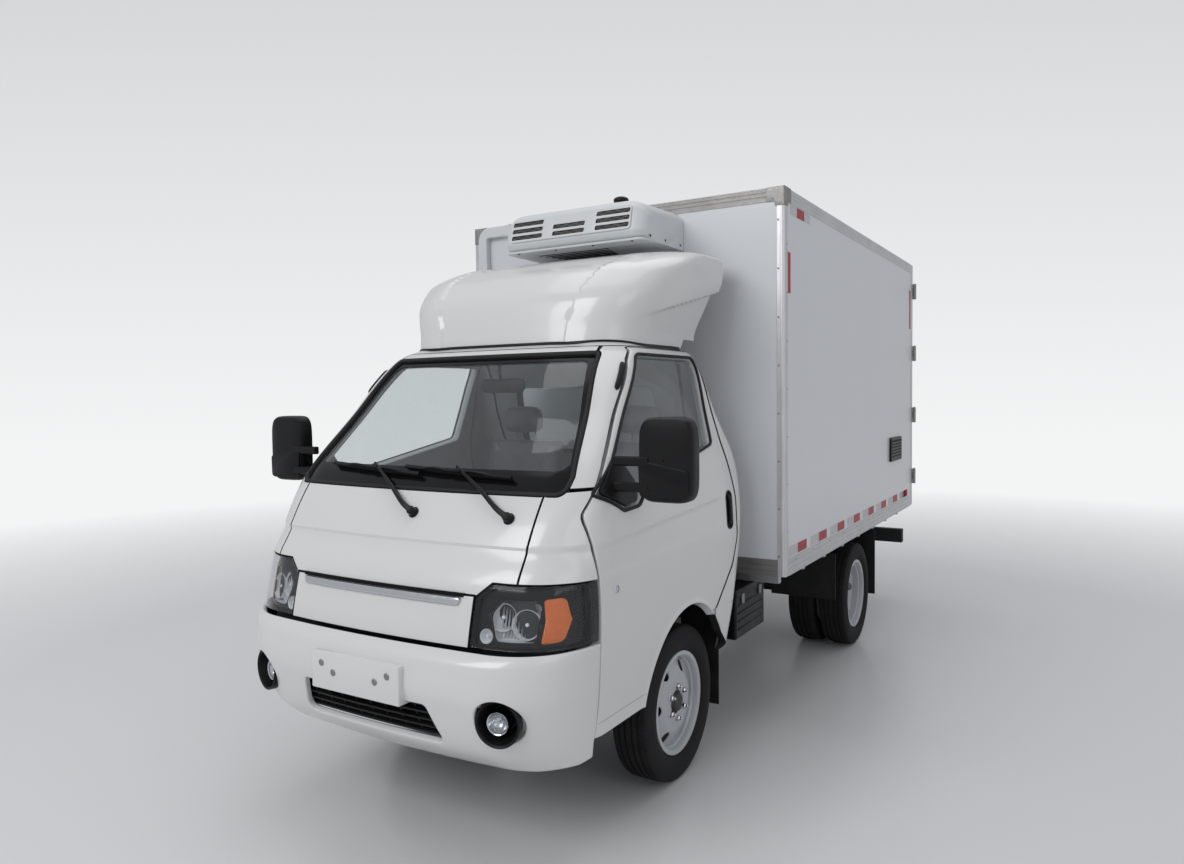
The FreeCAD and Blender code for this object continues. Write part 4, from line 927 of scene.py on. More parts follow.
def makeShell():
    g, wall = 0.002, shell["wall"]
    split, roofSplit = nose["split"] + g, cab["doorTop"] + cab["gap"]
    opening = leaned(doorLoop(cab["gap"]))
    z = opening[:, 1]
    station = cabSkin.bare(*opening.T)[:, 1] - axleY
    front = stretch(opening, (z > split) & (z < roofSplit - 0.001) & (station < -0.15))
    front = front[np.argsort(front[:, 1])]
    screen = cabSkin.fromFront(windscreenLoop(-0.0025))
    post = stretch(screen, (screen[:, 0] > roundOf(cab["headerHalf"], 1.85)[0]) & (screen[:, 1] > split))
    post = post[np.argsort(post[:, 1] - 0.2 * post[:, 0])]
    crown = roundOf(cab["headerHalf"], roofSplit)
    head = cabSkin.fromSide(np.array([[-0.19, roofSplit]]))[0]
    # The rims of these panels are painted shade, near-black for the shadow in the shut gaps
    pillar = Piece("pillar_skins", whitePaint, paintedGapShade, trimPlastic)
    outline = np.concatenate([between(post[0], front[0]), front, between(front[-1], head),
                              between(head, crown),
                              between(crown, post[-1])[:-1], post[::-1][:-1]])
    panel(pillar, cabSkin, outline, (), wall, 0.014, 0.003, looks=(0, 1, 2))
    # Rear quarter: behind the door, round the corner to the back panel
    rear = stretch(opening, (station > 0.15) & (z > cab["skirt"] + 0.008) & (z < roofSplit - 0.001))
    rear = rear[np.argsort(-rear[:, 1])]
    top, mid, low = roofSplit, cab["wheelSpace"], cab["skirt"] + 0.002
    backMid = cabSkin.fromBack(cab["backHalf"] + g, np.array([mid]))[0]
    sideMid = cabSkin.fromBack(shell["sideInner"], np.array([mid]))[0]
    sideLow = cabSkin.fromBack(shell["sideInner"], np.array([low]))[0]
    edge = np.linspace(mid, top, 60)
    backEdge = cabSkin.fromBack(cab["backHalf"] + g, edge)
    first = cabSkin.fromSide(np.array([[0.372, top]]))[0]
    outline = np.concatenate([between(first, rear[0]), rear, between(rear[-1], sideLow),
                              between(sideLow, sideMid),
                              between(sideMid, backMid), backEdge, between(backEdge[-1], first)[1:]])
    panel(pillar, cabSkin, outline, (), wall, 0.018, 0.003, looks=(0, 1, 2))
    pillar.both()
    pillar.make("truck", "paint", ["cab_sides"])
    # Roof: a band above the doors that turns over into a slightly crowned top, and the windscreen's header
    roof = Piece("roof_skin", whitePaint, paintedGapShade, trimPlastic)
    columns = 260
    share = np.linspace(-1, 1, columns)
    rings = []
    for height in np.linspace(roofSplit + 0.001, cab["roof"] - 0.006, 7):
        level = cabSkin.level(np.array([height]))
        span = float(level[7][3][0] + level[1][0] - cabSkin.rear)
        rings.append(cabPlain.bare(share * span, np.full(columns, height)))
    widest = rings[-1]
    centre = np.array([0, widest[:, 1].mean(), 0])
    for k, drop in ((0.994, 0.002), (0.985, 0), (0.9, 0), (0.6, 0), (0.25, 0), (0.0, 0)):
        ring = centre + (widest - centre) * [k, k, 0]
        ring[:, 2] = cab["roof"] - drop
        rings.append(ring)
    roof.add(np.concatenate(rings), gridFaces(len(rings), columns))
    top = screen[(screen[:, 1] > 1.849) & (np.abs(screen[:, 0]) < crown[0])]
    header = np.concatenate([between(-crown * [1, -1], crown), top[np.argsort(-top[:, 0])]])
    # The header's rim is painted shade, near-black for the shadow in its gap
    panel(roof, cabSkin, header, (), wall, 0.012, 0.002, looks=(0, 1, 2))
    roof.make("truck", "paint", ["cab_roof"])
    # Back panel round its window
    back = Piece("back_skin", whitePaint, paintedGapShade, trimPlastic)
    heights = np.linspace(cab["wheelSpace"] + 0.001, roofSplit - 0.001, 60)
    left = cabSkin.fromBack(cab["backHalf"], heights)
    right = cabSkin.fromBack(-cab["backHalf"], heights)
    outline = np.concatenate([left, between(left[-1], right[-1])[1:], right[::-1],
                              between(right[0], left[0])[1:]])
    hole = cabSkin.fromBack(*backWindowLoop(-0.001).T)
    # Its rims are painted shade, near-black for the shadow in the gaps round the panel and its window
    panel(back, cabSkin, outline, [hole], wall, 0.03, 0.003, looks=(0, 1, 2))
    back.make("truck", "paint", ["cab_back"])
    rim = Piece("back_window_seal", sealRubber)
    bead(rim, cabSkin, anticlockwise(hole), sealProfile)
    rim.make("truck", "black_plastic")
    pane = Piece("back_pane", windowGlass)
    panel(pane, sunk(0.012), cabSkin.fromBack(*backWindowLoop(0.001).T), (), 0.005, 0.04, 0.0008)
    pane.make("truck", "glass", ["back_window"])
    # Windscreen with its black border and rubber
    glass = Piece("screen_pane", windowGlass)
    panel(glass, sunk(0.012), cabSkin.fromFront(windscreenLoop(0.001)), (), 0.005, 0.04, 0.0008)
    glass.make("truck", "glass", ["windscreen"])
    border, foot, belt = shell["screenBorder"], shell["screenFoot"], cab["belt"]
    sight = evenLoop([(0.678 - border - 0.012, belt + foot, 0.06), (0.68 - border, belt + 0.11),
                      (0.55 - border, 1.848 - 0.03, 0.04)], 0.016)
    frit = Piece("screen_border", blackGloss)
    panel(frit, sunk(0.0108), cabSkin.fromFront(windscreenLoop(0.0012)), [cabSkin.fromFront(sight)], 0.0085,
          0.03, 0.0004)
    frit.make("truck", "black_plastic")
    rubberSeal = Piece("screen_seal", sealRubber)
    bead(rubberSeal, cabSkin, anticlockwise(cabSkin.fromFront(windscreenLoop(0.002))),
         [(-0.012, -0.012), (-0.012, -0.002), (-0.008, 0.003), (0.0, 0.0045), (0.005, 0.002),
          (0.006, -0.006)])
    rubberSeal.make("truck", "black_plastic")
    # Short black strip on each windscreen pillar
    strip = Piece("pillar_strips", blackPlastic)
    z0 = np.linspace(1.69, 1.803, 16)
    centre, up = cabSkin(*cabSkin.fromSide(pairs(np.interp(z0, [1.69, 1.803], [-0.43, -0.325]), z0)).T)
    out = np.cross(unit(np.gradient(centre, axis=0)), up)
    size = np.sqrt(np.clip(1 - np.linspace(-1, 1, 16) ** 8, 0.02, 1))[:, None]
    extrude(strip, centre, out * size, up * size,
            [(-0.012, -0.004), (-0.011, 0.008), (-0.005, 0.011), (0.005, 0.011),
                                                 (0.011, 0.008), (0.012, -0.004)])
    strip.both()
    strip.make("truck", "black_plastic")


makeShell()
print("cab shell closed")

# Bumper: its own skin, standing out from the cab's
bumper = {"end": -0.799, "fogX": 0.584, "fogZ": 0.584, "fogRadius": 0.08, "plateX": 0.22,
          "plateZ": (0.601, 0.741),
          "front": -1.185}


def bumperRows():
    low, top, bulge = cab["bumperLow"], cab["bumperTop"], cab["bulge"]
    rows = [(low, 145, 0.0, 34), (low + 0.11, 85, 1.0, 25), (low + 0.23, 35, 1.0, 15),
            (low + 0.32, 12, 1.0, 8),
            (top - 0.04, 10, 0.75, 2), (top, 15, 0.25, 0)]
    return [(z, cab["nose"] + back / 1000 - bulge * share, cab["half"] - side / 1000, 0.0,
             0.28 + bulge * share)
            for z, back, share, side in rows]


bumperSkin = Skin(bumperRows())


def circle(x, z, radius, count=72):
    q = np.linspace(0, 2 * math.pi, count, endpoint=False)
    return np.stack([x + radius * np.cos(q), z + radius * np.sin(q)], 1)


def makeBumper():
    shellPiece = Piece("bumper_skin", whitePaint, whitePaint, paintedGapShade)
    low = np.array([(-0.794, 0.444), (-0.775, 0.40), (-0.74, 0.378), (-0.633, 0.366), (-0.39, 0.358),
                    (0, 0.352),
                    (0.39, 0.358), (0.633, 0.366), (0.74, 0.378), (0.775, 0.40), (0.79, 0.43)])
    x = np.linspace(-0.765, 0.765, 120)
    z = np.interp(x, low[:, 0], low[:, 1])
    bottom = bumperSkin.fromFront(np.stack([x, z], 1))
    heights = np.linspace(0.455, cab["bumperTop"], 32)
    right = bumperSkin.fromSide(pairs(bumper["end"], heights))
    left = right * [-1, 1]
    top = between(right[-1], left[-1])[1:]
    outline = np.concatenate([bottom, right, top, left[::-1]])
    mouth = roundedLoop([(-0.302, 0.612, 0.02), (0.302, 0.612, 0.02), (0.347, 0.462, 0.03),
                         (-0.347, 0.462, 0.03)], 0.012)
    fogs = [circle(side * bumper["fogX"], bumper["fogZ"], bumper["fogRadius"] + 0.0005) for side in (-1, 1)]
    holes = [bumperSkin.fromFront(loop) for loop in [mouth] + fogs]
    # Its back face is painted shade, near-black for the dark seen through the openings
    panel(shellPiece, bumperSkin, outline, holes, 0.026, 0.018, 0.006, looks=(0, 1, 2))
    # Plate panel with four bolts, bare
    x0, (z0, z1), y0 = bumper["plateX"], bumper["plateZ"], bumper["front"]
    block(shellPiece, at(-x0, y0 + 0.004, z0), at(x0, -1.118, z1), 0, 0.006)
    shellPiece.make("truck", "paint", ["bumper"])
    bolts = Piece("plate_bolts", steel)
    for bx, bz in ((-0.165, 0.70), (-0.105, 0.671), (0.105, 0.671), (0.165, 0.70)):
        turned(bolts, at(bx, y0 + 0.005, bz), (0, -1, 0),
               [(0, 0.0), (0, 0.0125), (0.002, 0.013), (0.004, 0.0105), (0.004, 0.0)], 0, 24)
    # Slatted mouth behind the lower opening
    grid = Piece("bumper_slats", blackPlastic, paintedGapShade)
    u = np.linspace(-0.36, 0.36, 60)
    for i in range(5):
        centre, up = bumperSkin.front(u, 0.474 + 0.030 * i)
        carry(grid, centre - up * 0.034, [0, 0, 1.0], up,
              [(-0.008, -0.012), (-0.004, 0.010), (0.004, 0.012), (0.008, -0.008)], 0, False)
    for across in np.linspace(-0.3, 0.3, 9):
        centre, up = bumperSkin.front(across, np.linspace(0.466, 0.61, 8))
        carry(grid, centre - up * 0.042, [1.0, 0, 0], up,
              [(-0.004, -0.01), (-0.004, 0.01), (0.004, 0.01), (0.004, -0.01)], 0, False)
    # A near-black sheet of painted shade behind the slats stands for the dark inside the mouth
    sheet = roundedLoop([(-0.37, 0.625), (0.37, 0.625), (0.37, 0.45), (-0.37, 0.45)], 0.03)
    panel(grid, sunk(0.075, bumperSkin), bumperSkin.fromFront(sheet), (), 0.004, 0.05, 0.001, looks=(1, 1, 1))
    grid.make("truck", "black_plastic")
    bolts.make("truck", "chassis_black")
    # Fog lamps: deep black bowl with a small clear lamp set low in it
    fog = Piece("fog_lamps_dressed", blackPlastic, chrome, lampGlass)
    face = bumperSkin.front(bumper["fogX"], bumper["fogZ"])[0][0]
    direction = np.array([0.25, -1.0, 0.0]) / math.hypot(0.25, 1.0)
    turned(fog, face, direction, [(-0.075, 0.0), (-0.075, 0.045), (-0.05, 0.056), (-0.012, 0.068),
                                  (0.002, 0.072),
                                  (0.006, 0.077), (0.004, 0.0815), (-0.02, 0.0825)], 0, 72)
    lampAt = face + np.array([-0.008, 0.0, -0.006])
    turned(fog, lampAt, direction, [(-0.05, 0.0), (-0.048, 0.012), (-0.036, 0.026), (-0.022, 0.034),
                                    (-0.016, 0.036),
                                    (-0.014, 0.039), (-0.03, 0.041), (-0.06, 0.041)], 1, 48)
    turned(fog, lampAt, direction, [(-0.010, 0.0), (-0.0108, 0.012), (-0.013, 0.026), (-0.017, 0.0355),
                                    (-0.019, 0.0355),
                                    (-0.015, 0.026), (-0.0128, 0.012), (-0.012, 0.0)], 2, 48)
    turned(fog, lampAt, direction, [(-0.05, 0.004), (-0.03, 0.0045), (-0.027, 0.003), (-0.026, 0.0)], 1, 16)
    fog.both()
    fog.make("truck", "lamp_housing", ["fog_lamps"])


makeBumper()
print("bumper fitted")

# Headlamps: black housing, a reflector with two bowls in pale grey paint that is a painted reflection of its
# bright metal, amber turn lamp, clear cover on the cab's own skin
lamp = {"main": (0.508, 0.692, 0.846, 0.982), "amber": (0.690, 0.775, 0.838, 0.990),
        "small": (0.498, 0.858, 0.024), "housing": 0.028, "bowl": 0.062, "swing": 0.045}


def makeLamps():
    low, top, x = cab["lampLow"], cab["lampTop"], cab["lampInner"]
    cx, cz = nose["lampCornerX"], nose["lampCornerZ"]
    corner = roundedLoop([(x, low, 0.012), (0.72, low), (0.72, top), (x + cx, top, 0.025),
                          (x, top - cz, 0.025)], 0.010)
    # The part of the loop away from the door, from its upper end down, then the door's edge upwards
    edge = cabSkin.fromFront(corner[corner[:, 0] < 0.705])
    k = np.argmax(np.linalg.norm(np.roll(edge, -1, 0) - edge, axis=1))
    edge = np.roll(edge, -(k + 1), 0)
    if edge[0, 1] < edge[-1, 1]:
        edge = edge[::-1]
    heights = np.linspace(low, top, 20)
    end = pairs(sideEnd(heights) - 0.001, heights)
    outline = np.concatenate([edge, between(edge[-1], end[0])[1:], end, between(end[-1], edge[0])[1:]])
    cover = Piece("headlamp_covers", lampGlass)
    panel(cover, cabSkin, outline, (), 0.004, 0.02, 0.0025)
    cover.both()
    shade = Piece("headlamp_housings", blackGloss, blackPlastic)
    x0, x1, z0, z1 = lamp["main"]
    main = roundedLoop([(x0 + 0.03, z0, 0.02), (x1 - 0.008, z0, 0.012), (x1, z1 - 0.02, 0.012),
                        (x1 - 0.02, z1, 0.02),
                        (x0 + 0.045, z1, 0.03), (x0, z1 - 0.05, 0.04), (x0 + 0.012, z0 + 0.055, 0.03)], 0.006)
    a0, a1, b0, b1 = lamp["amber"]
    amber = roundedLoop([(a0 + 0.010, b0, 0.01), (a1 - 0.014, b0 + 0.004, 0.02), (a1, b0 + 0.075, 0.03),
                         (a1 - 0.02, b1, 0.02), (a0 + 0.006, b1 - 0.004, 0.01),
                         (a0 + 0.018, 0.5 * (b0 + b1), 0.05)], 0.006)
    sx, sz, sr = lamp["small"]
    small = circle(sx, sz, sr, 40)
    holes = [cabSkin.fromFront(h) for h in (main, amber, small)]
    # The deep part stops short of the door's swing, and a thin strip goes on to the door
    room = sideEnd(outline[:, 1]) - lamp["swing"]
    deep = np.stack([np.minimum(outline[:, 0], room), outline[:, 1]], 1)
    strip = np.stack([np.maximum(outline[:, 0], room - 0.003), outline[:, 1]], 1)
    inner = insetLoop(anticlockwise(deep), 0.004)
    panel(shade, sunk(lamp["housing"]), inner, holes, 0.006, 0.016, 0.002, looks=(0, 0, 1))
    panel(shade, sunk(0.0052), insetLoop(anticlockwise(strip), 0.002), (), 0.003, 0.016, 0.001,
          looks=(0, 0, 1))
    wall = insetLoop(anticlockwise(deep), 0.0035)
    centre, up = cabPlain(wall[:, 0], wall[:, 1])
    rings = np.concatenate([centre - up * d for d in (0.004, lamp["housing"] + 0.006)])
    shade.add(rings, gridFaces(2, len(wall), closeColumns=True)[:, ::-1], 1)
    panel(shade, sunk(lamp["bowl"] + 0.012), holes[0], (), 0.003, 0.05, 0.001, looks=(1, 1, 1))
    # Fine ribs on the housing beside the turn lamp
    for height in np.linspace(0.86, 0.965, 7):
        end = sideEnd(np.array([height]))[0] - lamp["swing"] - 0.006
        p, n = sunk(lamp["housing"])(np.linspace(roundOf(0.785, height)[0], end, 10), np.full(10, height))
        carry(shade, p, [0, 0, 1.0], n, [(-0.002, -0.001), (0, 0.0022), (0.002, -0.001)], 0, False)
    shade.both()
    # The reflector sinks from its rim to a flat floor, with two bowls and upright ribs between
    # The reflector is in the pale paint that stands for its bright reflection
    mirror = Piece("headlamp_reflectors", paintedReflectorGleam, lampGlass)
    loop = cabSkin.fromFront(anticlockwise(main))
    p, n = cabPlain(loop[:, 0], loop[:, 1])
    mid = p.mean(0)
    front = n.mean(0) / np.linalg.norm(n.mean(0))
    steps = [(1.0, lamp["housing"]), (0.985, lamp["housing"] + 0.01), (0.95, 0.05), (0.9, 0.058),
             (0.8, 0.062),
             (0.5, 0.064), (0.02, 0.064)]
    rings = [mid + (p - mid) * s - front * d for s, d in steps]
    mirror.add(np.concatenate(rings), gridFaces(len(rings), len(p), closeColumns=True)[:, ::-1], 0)
    for bx, bz, br in ((0.556, 0.925, 0.047), (0.642, 0.905, 0.050)):
        base = cabPlain.front(bx, bz)[0][0] - front * lamp["bowl"]
        turned(mirror, base, front, [(-0.018, 0.0), (-0.017, 0.012), (-0.008, 0.030), (0.006, br * 0.9),
                                     (0.022, br),
                                     (0.023, br * 1.03), (0.0, br * 1.05)], 0, 48)
        turned(mirror, base, front, [(-0.01, 0.006), (0.012, 0.0075), (0.018, 0.006), (0.020, 0.0)], 0, 20)
    for share in np.linspace(0.1, 0.9, 9):
        c = cabPlain.front(x0 + 0.03 + (x1 - x0 - 0.06) * share, np.linspace(z0 + 0.012, z1 - 0.014, 8))[0]
        carry(mirror, c - front * 0.058, [1.0, 0, 0], front, [(-0.003, -0.004), (0, 0.006), (0.003, -0.004)],
              0, False)
    c, up = cabPlain.front(sx, sz)
    turned(mirror, c[0] - up[0] * 0.034, up[0],
           [(-0.016, 0.0), (-0.014, 0.012), (-0.004, 0.021), (0.006, 0.0235),
                                                 (0.008, 0.0255), (0.0, 0.027)], 0, 40)
    turned(mirror, c[0] - up[0] * 0.034, up[0], [(-0.008, 0.005), (0.002, 0.006), (0.004, 0.0)], 0, 16)
    mirror.both()
    turn = Piece("headlamp_turn_lamps", amberGlass)

    def fluted(t, z):
        p, n = cabPlain(t, z)
        facets = 0.0016 * np.cos(t * 620.0) * np.cos(z * 620.0)
        return p - n * (lamp["housing"] - 0.002 + facets)[..., None], n
    panel(turn, fluted, cabSkin.fromFront(amber), (), 0.01, 0.0035, 0.002)
    turn.both()
    shade.make("truck", "lamp_housing")
    mirror.make("truck", "radiator_alloy")
    turn.make("truck", "lamp_lens")
    cover.make("truck", "lamp_lens", ["headlamps"])
    # Side repeater on each door
    # Its rim and centre take the same pale paint that stands for a bright reflection on the headlamp
    # reflectors
    repeater = Piece("door_repeater_left", paintedReflectorGleam, lampGlass)
    c, up = cabSkin(*leaned([(-0.693, 0.98)]).T)
    turned(repeater, c[0], up[0], [(-0.004, 0.0185), (0.003, 0.0185), (0.0052, 0.0165), (0.0045, 0.0145)], 0,
           40)
    turned(repeater, c[0], up[0], [(0.0035, 0.0148), (0.006, 0.0125), (0.0088, 0.007), (0.0096, 0.0)], 1, 40)
    turned(repeater, c[0], up[0], [(0.001, 0.0155), (0.0012, 0.006), (0.0045, 0.004), (0.005, 0.0)], 0, 40)
    makePair(repeater, "cab_door_", "lamp_lens")


makeLamps()
print("lamps set in")

# Mirrors: a tall moulded head on two arms from a black base over the door's front corner
mirror = {"inner": 0.88, "outer": 1.09, "front": -0.66, "low": 1.29, "high": 1.592, "sides": 96, "power": 5}


def makeMirrors():
    head = Piece("mirror_left_dressed", blackPlastic, blackGloss, chrome)
    x0, x1, y0, z0, z1 = (mirror[k] for k in ("inner", "outer", "front", "low", "high"))
    cx, cz, hx, hz = (x0 + x1) / 2, (z0 + z1) / 2, (x1 - x0) / 2, (z1 - z0) / 2
    c, s = circle(0, 0, 1.0, mirror["sides"]).T
    power = 2 / mirror["power"]
    ovalX, ovalZ = np.sign(c) * np.abs(c) ** power, np.sign(s) * np.abs(s) ** power

    def section(wide, tall, depth):
        # Superellipse: the powers of |x/wide| and |z/tall| add up to one
        return at(cx + ovalX * wide, y0 + depth, cz + ovalZ * tall)
    # Sections from the crowned front to the flat rim and in behind it, each a share of the full outline
    rings = []
    for share, depth in ((0.02, 0), (0.5, 0.0005), (0.8, 0.002), (0.93, 0.007), (0.985, 0.018), (1.0, 0.035),
                         (1.0, 0.066), (0.995, 0.072), (0.975, 0.0745), (0.94, 0.0745), (0.925, 0.072),
                         (0.92, 0.06)):
        cut = 1 - share
        rings.append(section(hx - cut * hx, hz - cut * (hz if share < 0.9 else hx), depth))
    head.add(np.concatenate(rings), gridFaces(len(rings), len(c), closeColumns=True))
    wide, tall = hx * 0.925, hz - hx * 0.075
    glass = [section(wide * share, tall * share, depth) for share,
             depth in ((1, 0.062), (0.5, 0.0605), (0.01, 0.060))]
    head.add(np.concatenate(glass), gridFaces(len(glass), len(c), closeColumns=True), 2)
    # A raised panel on the lower front
    loop = roundedLoop([(x0 + 0.012, z0 + 0.016, 0.02), (x1 - 0.012, z0 + 0.016, 0.02),
                        (x1 - 0.01, z0 + 0.115, 0.012),
                        (x0 + 0.006, z0 + 0.150, 0.02)], 0.01)
    prism(head, loop, at(0, y0 + 0.0015, 0), (1, 0, 0), (0, 0, 1), 0.004, 1, 0.0015)
    for low, high in ((1.325, 1.359), (1.418, 1.452)):
        extrude(head, at(np.linspace(0.782, 0.925, 14), -0.65, (low + high) / 2), [0, 0, 1.0], [0, -1.0, 0],
                [(-0.017, -0.010), (-0.017, 0.008), (-0.012, 0.0135), (0.012, 0.0135), (0.017, 0.008),
                 (0.017, -0.010), (0.012, -0.014), (-0.012, -0.014)])
    base = Piece("mirror_base_left", blackPlastic)
    loop = leaned(roundedLoop([(-0.722, 1.318, 0.012), (-0.60, 1.263, 0.02), (-0.50, 1.275, 0.03),
                               (-0.50, 1.35, 0.02),
                               (-0.585, 1.452, 0.02)], 0.01), cabPlain)
    panel(base, cabPlain, loop, (), 0.02, 0.012, 0.006, 0.010)
    makePair(head, "cab_door_", "black_plastic", "mirror_")
    makePair(base, "cab_door_", "black_plastic")


makeMirrors()

# Wipers: a hub, a tapered arm and a jointed blade each, lying low on the glass
wiper = {"hubs": (0.069, 0.500), "hubZ": 1.238, "blade": 0.26, "tipX": -0.31, "tipZ": 1.40}


def makeWipers():
    shape = Piece("wipers_dressed", blackPlastic, sealRubber)
    for hx in wiper["hubs"]:
        foot, up = cabPlain.front(hx, wiper["hubZ"])
        turned(shape, foot[0], up[0], [(-0.006, 0.022), (0.002, 0.0225), (0.006, 0.017), (0.016, 0.0155),
                                       (0.024, 0.0165), (0.028, 0.012), (0.028, 0.0)], 0, 28)
        x = np.array([hx, hx - 0.05, hx - 0.16, hx + wiper["tipX"]])
        z = np.array([wiper["hubZ"], wiper["hubZ"] + 0.022, wiper["hubZ"] + 0.085, wiper["tipZ"] - 0.005])
        lift = np.array([0.020, 0.030, 0.026, 0.018])
        p, n = cabPlain.front(x, z)
        rows = 30
        path, up = smoothPath(p + n * lift[:, None], rows), smoothPath(n, rows)
        side = np.cross(unit(np.gradient(path, axis=0)), up)
        # The arm tapers in width and in height
        wide, tall = np.linspace(1.25, 0.55, rows)[:, None], np.linspace(1.1, 0.8, rows)[:, None]
        extrude(shape, path, side * wide, up * tall, [(-0.010, -0.006), (-0.009, 0.004), (-0.005, 0.0075),
                                                      (0.005, 0.0075), (0.009, 0.004), (0.010, -0.006)])
        cx, cz = hx + wiper["tipX"], wiper["tipZ"] - 0.02

        def onBlade(share):
            return cabPlain.front(cx + wiper["blade"] * share, cz - 0.012 * share)
        p, n = onBlade(np.linspace(-1, 1, rows))
        side = unit(np.cross(np.gradient(p, axis=0), n))
        extrude(shape, p + n * 0.010, side, n,
                [(-0.0085, 0.0), (-0.006, 0.006), (0.006, 0.006), (0.0085, 0.0),
                                                (0.003, -0.002), (-0.003, -0.002)])
        extrude(shape, p + n * 0.004, side, n, [(-0.003, -0.012), (-0.0035, 0.005), (0.0035, 0.005),
                                                (0.003, -0.012)], 1)
        for a, b in ((-0.62, -0.1), (0.1, 0.62)):
            share = np.linspace(a, b, 12)
            p, n = onBlade(share)
            tube(shape, p + n * (0.014 + 0.010 * np.sin((share - a) / (b - a) * math.pi))[:, None], 0.0045, 0,
                 10)
        p, n = cabPlain.front(np.linspace(cx - 0.03, cx + 0.03, 6), cz)
        tube(shape, p + n * 0.020, 0.0075, 0, 12)
    shape.make("truck", "black_plastic", ["wipers"])


makeWipers()
print("mirrors and wipers on")

# Wheels: pressed steel disc with six round hand holes, six studs, a dark bore; ribbed tyres
wheel = {"bead": 0.205, "flange": 0.221, "lip": 0.070, "edge": 0.073, "studs": 6, "studRing": 0.070,
         "bore": 0.050,
         "holeRing": 0.158, "hole": 0.025, "rim": 0.1965, "valveRing": 0.186, "outer": 0.798, "inner": 0.598}
tread = {"half": 0.071, "blocks": 72, "shadeLine": 0.0075, "across": 52, "around": 256}


def wheelCentre(x, station):
    return np.array([x, station + axleY, axleZ])


def makeRim(piece, x, station, outward, hub, foot, nuts=True):
    # Hub and foot are how far the disc's middle and its outer edge stand outwards from the wheel's centre
    centre = wheelCentre(x, station)
    axis = np.array([outward, 0, 0.0])
    lip, edge, bead, flange = wheel["lip"], wheel["edge"], wheel["bead"], wheel["flange"]
    barrel = [(edge, flange - 0.001), (edge + 0.0005, flange - 0.004), (edge - 0.0005, bead - 0.002),
              (edge - 0.006, bead - 0.006), (lip - 0.022, bead - 0.0075), (lip - 0.030, bead - 0.014),
              (0.012, bead - 0.016), (-0.02, bead - 0.016), (-lip + 0.030, bead - 0.010),
              (-lip + 0.022, bead - 0.006),
              (-edge, bead - 0.005), (-edge, flange - 0.001), (-lip + 0.002, flange), (-lip, bead),
              (lip, bead),
              (lip - 0.001, flange)]
    turned(piece, centre, axis, barrel[::-1], 0, 96, True)
    radii = np.array([0.03, 0.052, 0.095, 0.106, 0.120, 0.150, 0.172, 0.188, 0.196])
    drop = np.array([0.0, 0.0, 0.0, 0.004, 0.014, 0.42, 0.80, 0.97, 1.0])

    def height(r):
        return hub - (hub - foot) * steady(r, radii, drop)

    def disc(u, v):
        # Seen from outside the disc is a surface over a flat ring; its height is a profile of the radius
        r, d = np.hypot(u, v), 1e-4
        h = height(r)
        slope = (height(r + d) - h) / d
        p = centre + np.stack([outward * h, u * outward, v], -1)
        radial = np.stack([0 * r, outward * u / np.maximum(r, 1e-6), v / np.maximum(r, 1e-6)], -1)
        return p, unit(axis - radial * slope[..., None])
    holes = [circle(0, 0, wheel["bore"], 48)]
    for i in range(wheel["studs"]):
        q = math.radians(60 * i + 30)
        holes.append(circle(wheel["holeRing"] * math.sin(q), wheel["holeRing"] * math.cos(q), wheel["hole"],
                            30))
    panel(piece, disc, circle(0, 0, wheel["rim"], 120), holes, 0.006, 0.011, 0.0015)
    face = centre + axis * hub
    if nuts:
        for i in range(wheel["studs"]):
            q = math.radians(60 * i)
            nut = face + np.array([0, math.sin(q), math.cos(q)]) * wheel["studRing"]
            turned(piece, nut, axis, [(-0.002, 0.017), (0.002, 0.0165), (0.004, 0.0135), (0.0045, 0.0125)], 1,
                   24)
            turned(piece, nut, axis, [(0.0, 0.0125), (0.014, 0.0122), (0.017, 0.0098), (0.018, 0.0085)], 1, 6)
            turned(piece, nut, axis, [(0.012, 0.0068), (0.025, 0.0068), (0.0272, 0.005), (0.0275, 0.0)], 1,
                   18)
    # The hub end in the bore
    turned(piece, face, axis, [(-0.03, 0.0495), (-0.012, 0.049), (-0.006, 0.044), (0.004, 0.042),
                               (0.014, 0.036),
                               (0.018, 0.026), (0.019, 0.0)], 2, 48)
    # A small valve stem
    q = math.radians(18)
    ray = np.array([0, math.sin(q), math.cos(q)])
    p = centre + ray * wheel["valveRing"]
    tube(piece, [p + axis * foot, p + axis * (foot + 0.012), p + axis * (foot + 0.03) - ray * 0.006], 0.0035,
         1, 10)


